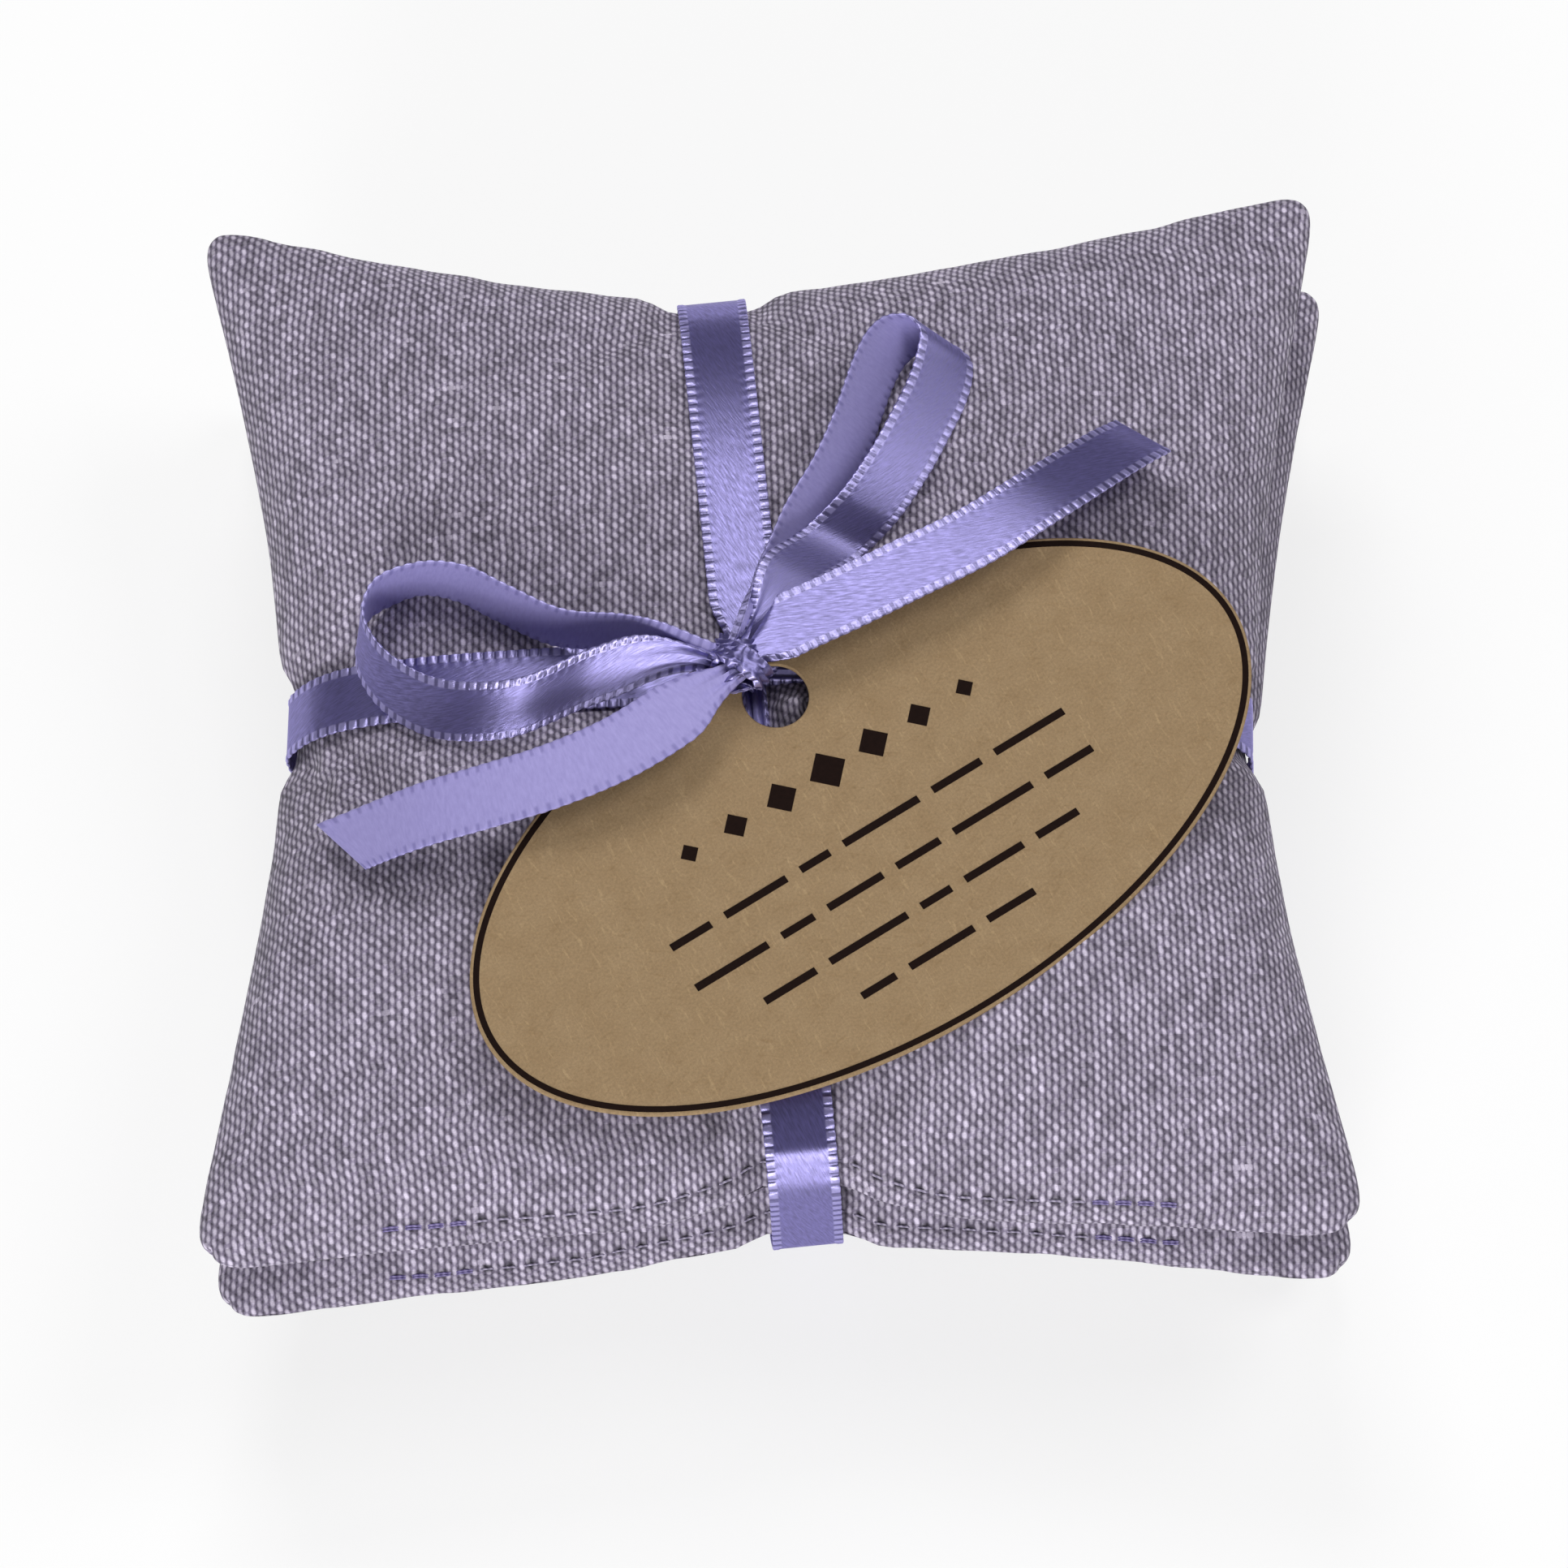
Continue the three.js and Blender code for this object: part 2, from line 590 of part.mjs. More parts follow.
for (const { p, w, n } of [...crossStations, ...lengthStations]) {
  for (const k of [-1, -0.5, 0, 0.5, 1]) {
    cover.push(p.clone().addScaledVector(w, k).addScaledVector(n, RIBBON_THICK / 2));
  }
}
for (let k = 0; k < COVER_SAMPLES; k++) {
  const angle = 2 * Math.PI * k / COVER_SAMPLES;
  for (const ring of [0.5, 0.7, 0.85, 0.95, 1]) {
    const u = ring * TAG_LENGTH / 2 * Math.cos(angle);
    const v = ring * TAG_WIDTH / 2 * Math.sin(angle) + middleV;
    const p = bridge.clone().addScaledVector(tagU, u).addScaledVector(tagV, v);
    cover.push(p.addScaledVector(tagNormal, TAG_THICK / 2));
  }
}

// The strand is a flat oval ring round the bridge between the hole and the tag's edge.
const strandReach = HOLE_EDGE / 2 + STRAND_SLACK + STRAND_THICK / 2;
const strandRise = TAG_THICK / 2 + STRAND_ROOM + STRAND_THICK / 2;
const strandStations = [];
for (let k = 0; k < STRAND_STEPS; k++) {
  const angle = 2 * Math.PI * k / STRAND_STEPS;
  const c = Math.cos(angle);
  const s = Math.sin(angle);
  const n = tagV.clone().multiplyScalar(c / strandReach).addScaledVector(tagNormal, s / strandRise).normalize();
  strandStations.push({
    p: bridge.clone().addScaledVector(tagV, strandReach * c).addScaledVector(tagNormal, strandRise * s),
    w: tagU.clone().multiplyScalar(-STRAND_WIDTH / 2),
    n,
  });
}
addPiece('tag_strand', strip(strandStations, STRAND_THICK, true), satin);

// Stations along a smooth line through chosen points, each with its half width.
function stationsAlong(points, widths, steps) {
  const line = new THREE.CatmullRomCurve3(points, false, 'centripetal');
  const sides = new THREE.CatmullRomCurve3(widths, false, 'centripetal');
  const stations = [];
  for (let k = 0; k <= steps; k++) {
    const p = line.getPoint(k / steps);
    const w = sides.getPoint(k / steps);
    const n = line.getTangent(k / steps).cross(w).normalize();
    stations.push({ p, w, n });
  }
  return stations;
}

// The place on the way from the knot's middle to [x, y] where a gathered root clears the knot.
function rooted([x, y]) {
  const skin = 1 / Math.hypot(x / (BOW_KNOT_WIDTH / 2), y / (BOW_KNOT_DEPTH / 2));
  const k = skin + (CLEARANCE + RIBBON_THICK) / Math.hypot(x, y);
  return [x * k, y * k];
}

// A loop stands on its lower edge and is gathered to a narrow root at the knot.
function addLoop(name, plan, lean) {
  const points = [];
  const widths = [];
  const last = plan.length - 1;
  for (const [x, y] of [rooted(plan[0]), ...plan.slice(1, last), rooted(plan[last])]) {
    const share = THREE.MathUtils.smoothstep(Math.hypot(x, y), BOW_KNOT_WIDTH / 2, LOOP_GATHER);
    const half = lean.clone().multiplyScalar(lerp(LOOP_ROOT, RIBBON_WIDTH, share) / 2);
    const rest = restHeight(bow.x + x, bow.y + y, LOOP_ROOT);
    const low = Math.max(rest, lerp(bow.z - LOOP_ROOT / 2, rest, share));
    points.push(new THREE.Vector3(bow.x + x, bow.y + y, low).add(half));
    widths.push(half);
  }
  addPiece(name, strip(stationsAlong(points, widths, LOOP_STEPS), RIBBON_THICK, false), satin);
}

addLoop('left_loop', LEFT_LOOP, LEFT_LOOP_LEAN);
addLoop('right_loop', RIGHT_LOOP, RIGHT_LOOP_LEAN);

// A tail lies flat: it leaves the knot, arches over the tag and comes down on the sachet.
function addTail(name, plan, cut) {
  const [endX, endY] = plan[plan.length - 1];
  const length = Math.hypot(endX, endY);
  const end = restHeight(bow.x + endX, bow.y + endY, RIBBON_WIDTH) + TAIL_END_LIFT;
  const points = [rooted(plan[0]), ...plan.slice(1)].map(([x, y]) => {
    const share = (Math.hypot(x, y) / length) ** TAIL_SAG;
    return new THREE.Vector3(bow.x + x, bow.y + y, lerp(bow.z, end, share));
  });
  const line = new THREE.CatmullRomCurve3(points, false, 'centripetal');
  const stations = [];
  for (let k = 0; k <= TAIL_STEPS; k++) {
    const tangent = line.getTangent(k / TAIL_STEPS);
    const side = new THREE.Vector3(-tangent.y, tangent.x, 0).normalize();
    const share = THREE.MathUtils.smoothstep(k / TAIL_STEPS, 0, TAIL_GATHER);
    const w = side.multiplyScalar(lerp(LOOP_ROOT, RIBBON_WIDTH, share) / 2);
    if (k === TAIL_STEPS) w.addScaledVector(tangent, cut);
    const n = tangent.clone().cross(w).normalize();
    stations.push({ p: line.getPoint(k / TAIL_STEPS), w, n });
  }
  addPiece(name, strip(stations, RIBBON_THICK, false), satin);
}

addTail('left_tail', LEFT_TAIL, LEFT_TAIL_CUT);
addTail('right_tail', RIGHT_TAIL, RIGHT_TAIL_CUT);

// The origin is on the table under the middle of the whole stack.
const box = new THREE.Box3().setFromObject(stack);
const centre = box.getCenter(new THREE.Vector3());
stack.position.set(-centre.x, -centre.y, -box.min.z);
const part = new THREE.Group();
part.add(stack);

export default part;
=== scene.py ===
import json
import math

import bpy
import numpy as np
from mathutils import Matrix, Vector, noise


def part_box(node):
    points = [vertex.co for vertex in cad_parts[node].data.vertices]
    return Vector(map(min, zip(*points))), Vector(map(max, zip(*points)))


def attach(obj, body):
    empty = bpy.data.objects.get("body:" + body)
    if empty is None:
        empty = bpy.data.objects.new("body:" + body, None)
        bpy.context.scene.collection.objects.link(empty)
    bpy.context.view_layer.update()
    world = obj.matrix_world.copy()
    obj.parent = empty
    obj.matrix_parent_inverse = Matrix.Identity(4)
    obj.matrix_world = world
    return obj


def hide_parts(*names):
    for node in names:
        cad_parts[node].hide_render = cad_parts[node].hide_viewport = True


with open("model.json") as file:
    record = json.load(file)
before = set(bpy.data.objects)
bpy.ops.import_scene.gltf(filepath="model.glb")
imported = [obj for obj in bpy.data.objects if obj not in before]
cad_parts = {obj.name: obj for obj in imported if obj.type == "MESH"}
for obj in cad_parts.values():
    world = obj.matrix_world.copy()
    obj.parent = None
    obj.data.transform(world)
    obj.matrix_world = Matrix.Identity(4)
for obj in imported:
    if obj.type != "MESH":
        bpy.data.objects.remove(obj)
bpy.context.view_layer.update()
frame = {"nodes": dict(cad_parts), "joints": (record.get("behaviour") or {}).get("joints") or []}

# Linen sachets
# Each of the three is two squares of linen chambray, sewn on three sides, turned, filled with buds and closed
# along the front. They lie loose on one another, and the ribbon draws the stack in at its waist.
MM = 0.001
RIBBON_WIDTH = 6.35
CLEARANCE = 0.3
LENGTH_BAND_SKEW, CROSS_BAND_SKEW = -0.075, -0.034
# Each one's size and place, the height of its seam and how far the bands pull that up, its rolled rim, how far its
# front edge sags and stands out, and how far the cross band draws in its left and right side.
SACHETS = {
    "bottom": {
        "side": 99, "thick": 13, "at": (2.0, 3.1), "turn": 1.4, "seam": 6.5, "seam_pull": 4,
        "rim": 0.7, "sag": 0, "out": 0, "waist": (7.9, 7.9),
    },
    "middle": {
        "side": 101, "thick": 13, "at": (2.0, 0.1), "turn": -0.9, "seam": 4.7, "seam_pull": 0,
        "rim": 1.2, "sag": 1.6, "out": 1.3, "waist": (7.65, 8.1),
    },
    "top": {
        "side": 102, "thick": 14, "at": (1.2, 0.5), "turn": 0, "seam": 4.5, "seam_pull": -3,
        "rim": 1.3, "sag": 2.3, "out": 1.5, "waist": (8.25, 8.05),
    },
}
# How far the ribbon draws in the front and back edge, and how far each corner is rounded.
FRONT_WAIST, BACK_WAIST, WAIST_BEND = 4.8, 7.8, 1.2
FRONT_CORNER, BACK_CORNER = 1.65, 1.02
# Where the front edge droops: from this share of the half side on, and away from the band that holds it.
DROOP_FROM, BAND_HOLD, MIDDLE_DROOP = 0.45, 7, (-0.5, 0.1)
# How full a face is: the free crown on top, and the flatter faces that a neighbour or the table presses.
CROWN_FALL, CROWN_BEND, CROWN_RIM = 0.68, 1.6, 16
PRESSED_BEND, PRESSED_FLAT = 3.6, 0.93
# The valleys that the ribbon presses, the puff of cloth in front of the knot, and the rolled rim.
VALLEYS, VALLEY_SLOPE = {("top", 1): 2.0, ("bottom", -1): 1.7}, 9.5
PUFF_RISE, PUFF_AT, PUFF_WIDE = 3.1, (3.7, -4.1), (1.9, 2.4)
RIM_DEPTH, RIM_FADE, RIM_HOLD, RIM_FACING = 2.6, 9, 2, 20


def middle(node_name):
    """The middle of a CAD node, in mm."""
    low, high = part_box(node_name)
    return np.array((low + high) / 2) / MM


def smoothstep(x, low, high):
    k = np.clip((x - low) / (high - low), 0, 1)
    return k * k * (3 - 2 * k)


def bell(x, width):
    return np.exp(-(x / width) ** 2)


def rough(points, size, seed):
    """Smooth noise from -1 to 1 at points in mm, with lumps of about that size."""
    offset = Vector((seed, 2.7 * seed, 0))
    return np.array([noise.noise(Vector(p) / size + offset) for p in points])


crossing = middle("half_knot")


def pull(p, p0):
    """How strongly a band at p0 draws in an edge at p: 1 at the band and 0 at the edge's ends."""
    reach = np.where(p > p0, 1 - p0, 1 + p0)
    return 1 - np.abs((p - p0) / reach) ** WAIST_BEND


def beside_bands(x, y):
    """How far places, measured from the crossing, lie off the sides of the length band and the cross band."""
    off = np.abs(x - LENGTH_BAND_SKEW * y), np.abs(y - CROSS_BAND_SKEW * x)
    return [far - RIBBON_WIDTH / 2 - CLEARANCE for far in off]


def sachet_form(name, face, s, t):
    """Points of the upper (1) or lower (-1) face at shares s and t of a sachet's square, in mm."""
    sachet = SACHETS[name]
    half = sachet["side"] / 2
    x0, y0 = sachet["at"]
    turn = math.radians(sachet["turn"])
    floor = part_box(f"{name}_lower_panel")[0].z / MM
    top = floor + sachet["thick"]
    side_pull = pull(t, (CROSS_BAND_SKEW * (x0 + s * half) - y0 - math.sin(turn) * s * half) / half)
    end_pull = pull(s, (LENGTH_BAND_SKEW * (y0 + t * half) - x0 + math.sin(turn) * t * half) / half)
    corner = np.where(t < 0, FRONT_CORNER, BACK_CORNER)
    rounding = corner * np.abs(s * t) ** (half / corner)
    wide = s * (half - np.where(s < 0, *sachet["waist"]) * side_pull * s ** 2 - rounding)
    deep = t * (half - np.where(t < 0, FRONT_WAIST, BACK_WAIST) * end_pull * t ** 2 - rounding)
    x = x0 + math.cos(turn) * wide - math.sin(turn) * deep
    y = y0 + math.sin(turn) * wide + math.cos(turn) * deep
    seam = floor + sachet["seam"] + sachet["seam_pull"] * (end_pull * t ** 2 + side_pull * s ** 2)
    across, along = beside_bands(x, y)
    nearest = np.minimum(across, along)
    droop = smoothstep(-t, DROOP_FROM, 1) * (1 - bell(np.maximum(across, 0), BAND_HOLD))
    if name == "middle":
        droop = droop * (1 - smoothstep(s, *MIDDLE_DROOP))
    seam = seam - sachet["sag"] * droop
    y = y - sachet["out"] * droop
    crowned = name == "top" and face > 0
    if crowned:
        reach = (s ** 4 + t ** 4) ** 0.25
        full = (1 - s ** CROWN_RIM) * (1 - t ** CROWN_RIM) * (1 - CROWN_FALL * reach ** CROWN_BEND)
    else:
        puffed = (1 - np.abs(s) ** PRESSED_BEND) * (1 - np.abs(t) ** PRESSED_BEND)
        full = np.minimum(1, (1 - (1 - puffed) ** 2) / PRESSED_FLAT)
    pressed = VALLEYS.get((name, face), 0) * (1 - smoothstep(nearest, 0, VALLEY_SLOPE))
    level = top if face > 0 else floor
    z = seam + face * (face * (level - seam) - pressed) * full
    if crowned:
        puff_x, puff_y = (x - PUFF_AT[0]) / PUFF_WIDE[0], (y - PUFF_AT[1]) / PUFF_WIDE[1]
        z = z + PUFF_RISE * np.exp(-puff_x ** 2 - puff_y ** 2)
    rim = half * np.minimum(1 - np.abs(s), 1 - np.abs(t))
    free = 1 - bell(np.maximum(nearest, 0), RIM_HOLD)
    roll = math.pi / 2 * np.minimum(1, np.sqrt(rim / RIM_DEPTH))
    facing = np.stack([np.sign(k) * np.abs(k) ** RIM_FACING for k in (s, t)], axis=-1)
    facing /= np.maximum(np.linalg.norm(facing, axis=-1), 1e-6)[..., None]
    out = sachet["rim"] * np.cos(roll) * free
    z = z + face * sachet["rim"] * np.sin(roll) * free * bell(rim, RIM_FADE)
    x = x + out * facing[..., 0]
    y = y + out * facing[..., 1]
    return np.stack([x + crossing[0], y + crossing[1], z], axis=-1)


def linear(colour):
    """A hex colour in sRGB as linear red, green, blue and alpha."""
    parts = [int(colour[k:k + 2], 16) / 255 for k in (1, 3, 5)]
    return [p / 12.92 if p <= 0.04045 else ((p + 0.055) / 1.055) ** 2.4 for p in parts] + [1.0]


def material(name):
    """A new material, the function that adds its nodes, and the places in mm on its cloth, card or thread: as one
    vector, then the way along, the way across and a third part."""
    made = bpy.data.materials.new(name)
    made.use_nodes = True
    tree = made.node_tree
    tree.nodes.clear()

    def node(kind, *inputs, **settings):
        """Adds a node of a kind, which has its operation after a space. Its inputs come in order or by name, each
        a value, a hex colour, or a node or socket to link from."""
        kind, _, operation = kind.partition(" ")
        added = tree.nodes.new("ShaderNode" + kind)
        if operation:
            added.operation = operation
        for setting, value in settings.items():
            setattr(added, setting, value)
        named = inputs and isinstance(inputs[0], dict)
        for key, value in inputs[0].items() if named else enumerate(inputs):
            if isinstance(value, str):
                value = linear(value)
            if isinstance(value, bpy.types.Node):
                value = value.outputs[0]
            if isinstance(value, bpy.types.NodeSocket):
                tree.links.new(value, added.inputs[key])
            else:
                added.inputs[key].default_value = value
        return added

    place = node("Attribute", attribute_name="cloth").outputs["Vector"]
    return made, node, place, *node("SeparateXYZ", place).outputs


def off_middle(node, turns):
    """How far a place lies off the middle of its yarn, stitch or bar, as a share of its pitch."""
    return node("Math SUBTRACT", node("Math FRACT", turns), 0.5)


# Linen chambray, plain woven of a pale warp and a dark purple-grey weft, with a few thick slubs. The eye sees
# staggered pale ovals of warp over dark cross threads, dull and uneven. The warp is painted paler on its crowns as a
# painted highlight, and the hollows between the yarns and the needle holes along the stitches are painted dark as
# painted shade.
WARP_PITCH, WEFT_PITCH, WARP_LEAN = 0.61, 0.54, 0.06
YARN_APART, SLUB_RUN = 1.73, 0.3
STITCH_INSET, STITCH_PITCH, STITCH_REACH = 2.6, 2.0, 36.0
linen, node, place, along, across, third = material("woven linen chambray")
drift = node("TexNoise", {"Vector": place, "Scale": 0.16, "Detail": 4.0, "Roughness": 0.55})
drifts = node("SeparateXYZ", drift.outputs["Color"]).outputs
warp_at = node("Math MULTIPLY_ADD", along, 1 / WARP_PITCH, drifts[0])
weft_at = node("Math MULTIPLY_ADD", across, 1 / WEFT_PITCH, drifts[1])
warp_number = node("Math FLOOR", warp_at)
weft_number = node("Math FLOOR", weft_at)
warp_side = off_middle(node, warp_at)
weft_part = off_middle(node, weft_at)
# A crossing has the warp over the weft (1) or under it (-1), by turns.
numbers = node("Math ADD", warp_number, weft_number)
odd = node("Math FLOORED_MODULO", numbers, 2.0)
over = node("Math MULTIPLY_ADD", odd, -2.0, 1.0)
weft_angle = node("Math MULTIPLY", weft_part, math.pi)
weft_sine = node("Math SINE", weft_angle)
lean = node("Math MULTIPLY", over, weft_sine)
warp_part = node("Math MULTIPLY_ADD", lean, WARP_LEAN, warp_side)
warp_angle = node("Math MULTIPLY", warp_part, math.pi)
warp_swing = node("Math COSINE", weft_angle)
weft_swing = node("Math COSINE", warp_angle)
warp_round = node("Math MULTIPLY", warp_part, warp_part)
weft_round = node("Math MULTIPLY", weft_part, weft_part)
warp_yarn = node(
    "CombineXYZ", node("Math MULTIPLY", warp_number, YARN_APART), node("Math MULTIPLY", across, SLUB_RUN),
)
weft_yarn = node(
    "CombineXYZ", node("Math MULTIPLY", along, SLUB_RUN), node("Math MULTIPLY", weft_number, YARN_APART), 5.0,
)
warp_slub = node("TexNoise", {"Vector": warp_yarn, "Scale": 1.0, "Detail": 2.0})
weft_slub = node("TexNoise", {"Vector": weft_yarn, "Scale": 1.0, "Detail": 2.0})
# Each yarn's height, as a share of its thickness: it swings over and under, and it is round across its line.
warp_thick = node("MapRange", warp_slub, 0.3, 0.75, 0.37, 0.5)
warp_lift = node("Math MULTIPLY", over, warp_swing)
weft_lift = node("Math MULTIPLY", over, weft_swing)
warp_swung = node("Math MULTIPLY_ADD", warp_lift, 0.23, warp_thick)
warp_top = node("Math MULTIPLY_ADD", warp_round, -4.2, warp_swung)
slub = node("MapRange", weft_slub, 0.67, 0.77)
slub_top = node("Math MULTIPLY_ADD", slub, 0.5, -0.15)
weft_swung = node("Math MULTIPLY_ADD", weft_lift, -0.34, slub_top)
weft_top = node("Math MULTIPLY_ADD", weft_round, -1.9, weft_swung)
higher = node("Math SUBTRACT", warp_top, weft_top)
is_warp = node("MapRange", higher, -0.15, 0.15)
height = node("Math SMOOTH_MAX", warp_top, weft_top, 0.12)
# Painted highlight: the warp is painted paler the higher its crown stands.
painted_crown_highlight = node("MapRange", warp_top, 0.0, 0.62, interpolation_type="SMOOTHSTEP")
warp_colour = node("MixRGB", painted_crown_highlight, "#7E768A", "#B8B0C1")
weft_colour = node("MixRGB", weft_slub, "#6C6377", "#7C7487")
weft_colour = node("MixRGB", slub, weft_colour, "#A8A0B1")
yarn_colour = node("MixRGB", is_warp, weft_colour, warp_colour)
# Painted shade: the cloth is painted darker where the yarns lie low, in the hollows between them.
painted_hollow_shade = node("MapRange", height, -0.5, 0.12, 0.34, 1.0)
fuzz = node("TexNoise", {"Vector": place, "Scale": 6.0, "Detail": 2.0})
worn = node("MapRange", fuzz, 0.25, 0.75, 0.84, 1.16)
crossing_number = node("CombineXYZ", warp_number, weft_number)
patch = node("TexWhiteNoise", {"Vector": crossing_number}, noise_dimensions="2D")
faded = node("MapRange", patch, 0.0, 1.0, 0.8, 1.2)
yarns = node("Math ADD", warp_slub, weft_slub)
uneven = node("MapRange", yarns, 0.7, 1.3, 0.74, 1.26)
# Painted shade: round dark spots at the needle holes along the front stitches.
stitch_turns = node("Math MULTIPLY", along, 1 / STITCH_PITCH)
stitch_side = node("Math MULTIPLY", off_middle(node, stitch_turns), STITCH_PITCH)
stitch_off = node("Math SUBTRACT", third, STITCH_INSET)
stitch_far = node("VectorMath LENGTH", node("CombineXYZ", stitch_side, stitch_off))
painted_stitch_hole_shade = node("MapRange", stitch_far.outputs["Value"], 0.2, 0.65, 0.16, 1.0)
row_far = node("Math ABSOLUTE", along)
stitched = node("Math LESS_THAN", row_far, STITCH_REACH)
stitch_hole_shade = node("MixRGB", stitched, (1, 1, 1, 1), painted_stitch_hole_shade)
# Random tone of worn, faded and uneven yarns, times the painted shade of the hollows and the needle holes.
tone_and_painted_shade = worn
for darkened in (faded, uneven, stitch_hole_shade, painted_hollow_shade):
    tone_and_painted_shade = node("Math MULTIPLY", tone_and_painted_shade, darkened)
node("OutputMaterial", node("BsdfPrincipled", {
    "Base Color": node("MixRGB", 1.0, yarn_colour, tone_and_painted_shade, blend_type="MULTIPLY"),
    "Normal": node("Bump", {"Height": height, "Strength": 0.4, "Distance": 0.12 * MM}),
    "Roughness": 0.95, "Specular IOR Level": 0.2, "Sheen Weight": 0.12,
}))


def stand(name, data):
    """A new object in the scene."""
    made = bpy.data.objects.new(name, data)
    bpy.context.scene.collection.objects.link(made)
    return made


def piece(name, shapes, finish, body, nodes=(), smooth=True):
    """One object from shapes: points and faces, places on the cloth and, for satin, the way across its threads."""
    points, faces, places, lines = [], [], [], []
    for shape_points, shape_faces, shape_places, *shape_lines in shapes:
        first = sum(len(p) for p in points)
        points.append(shape_points)
        places.append(shape_places)
        lines += shape_lines
        faces += [[k + first for k in face] for face in shape_faces]
    mesh = bpy.data.meshes.new(name)
    mesh.from_pydata((np.concatenate(points) * MM).tolist(), [], faces)
    for kind, values in (("cloth", places), ("across_thread", lines)):
        if values:
            written = mesh.attributes.new(kind, "FLOAT_VECTOR", "POINT")
            written.data.foreach_set("vector", np.concatenate(values).ravel())
    mesh.polygons.foreach_set("use_smooth", [smooth] * len(mesh.polygons))
    mesh.materials.append(finish)
    mesh.update()
    made = stand(name, mesh)
    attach(made, body)
    if nodes:
        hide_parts(*nodes)
    return made


def cushion(upper, lower, places, under_places):
    """A closed skin of two grids of points that share their rim."""
    count = len(upper)
    number = np.arange(count * count).reshape(count, count)
    inside = np.zeros((count, count), bool)
    inside[1:-1, 1:-1] = True
    under = number.copy()
    under[inside] = count * count + np.arange(inside.sum())
    faces = []
    for i in range(count - 1):
        for j in range(count - 1):
            faces.append([number[i, j], number[i + 1, j], number[i + 1, j + 1], number[i, j + 1]])
            faces.append([under[i, j], under[i, j + 1], under[i + 1, j + 1], under[i + 1, j]])
    points = np.concatenate([upper.reshape(-1, 3), lower[inside]])
    return points, faces, np.concatenate([places.reshape(-1, 3), under_places[inside]])


# The filling swells the cloth in a model ten times as large, where the solver is steady.
SWELL_CELLS, SWELL_FRAMES, SWELL_QUALITY = 44, 20, 6
SWELL_SCALE, SWELL_PRESSURE, SWELL_CAP = 10.0, 4.0, 1.0
HELD_INSIDE = 0.86


def swell(name):
    """How far the filling's pressure moves the cloth, in mm, on even grids of the upper and lower face."""
    even = np.linspace(-1, 1, SWELL_CELLS + 1)
    s, t = np.meshgrid(even, even, indexing="ij")
    start = {face: sachet_form(name, face, s, t) for face in (1, -1)}
    flat = np.zeros(start[1].shape)
    points, faces, _ = cushion(start[1], start[-1], flat, flat)
    mesh = bpy.data.meshes.new("swelling")
    mesh.from_pydata((points * MM * SWELL_SCALE).tolist(), [], faces)
    model = stand("swelling", mesh)
    outward = np.maximum(np.abs(s), np.abs(t))
    outward = np.concatenate([outward.ravel(), outward[1:-1, 1:-1].ravel()])
    shown = np.arange(len(points)) < s.size
    held = np.minimum(*beside_bands(*(points - crossing)[:, :2].T)) < 0
    held |= (outward < HELD_INSIDE) & ~(shown & (name == "top"))
    model.vertex_groups.new(name="held").add(np.flatnonzero(held).tolist(), 1.0, "REPLACE")
    filling = model.modifiers.new("filling", "CLOTH")
    filling.settings.vertex_group_mass = "held"
    filling.settings.quality = SWELL_QUALITY
    filling.settings.use_pressure = True
    filling.settings.uniform_pressure_force = SWELL_PRESSURE
    filling.settings.effector_weights.gravity = 0.0
    filling.collision_settings.use_collision = False
    for frame_number in range(1, SWELL_FRAMES + 1):
        bpy.context.scene.frame_set(frame_number)
    solved = model.evaluated_get(bpy.context.evaluated_depsgraph_get()).data
    ends = np.zeros(3 * len(points))
    solved.vertices.foreach_get("co", ends)
    bpy.context.scene.frame_set(1)
    moved = ends.reshape(-1, 3) / SWELL_SCALE / MM - points
    bpy.data.objects.remove(model)
    far = np.linalg.norm(moved, axis=1)
    moved *= (np.minimum(far, SWELL_CAP) / np.maximum(far, 1e-9))[:, None]
    upper = moved[:s.size].reshape(start[1].shape)
    lower = upper.copy()
    lower[1:-1, 1:-1] = moved[s.size:].reshape(SWELL_CELLS - 1, SWELL_CELLS - 1, 3)
    return {1: upper, -1: lower}


def between(grid, s, t):
    """Values of an even grid over the square at shares s and t."""
    i, j = (s + 1) / 2 * SWELL_CELLS, (t + 1) / 2 * SWELL_CELLS
    i0, j0 = (np.minimum(k.astype(int), SWELL_CELLS - 1) for k in (i, j))
    u, v = (i - i0)[..., None], (j - j0)[..., None]
    near = grid[i0, j0] * (1 - u) + grid[i0 + 1, j0] * u
    far = grid[i0, j0 + 1] * (1 - u) + grid[i0 + 1, j0 + 1] * u
    return near * (1 - v) + far * v


def rim_grid(cells):
    """Shares over a square, closer together towards its rim."""
    share = np.sin(np.linspace(-math.pi / 2, math.pi / 2, cells + 1))
    return np.meshgrid(share, share, indexing="ij")


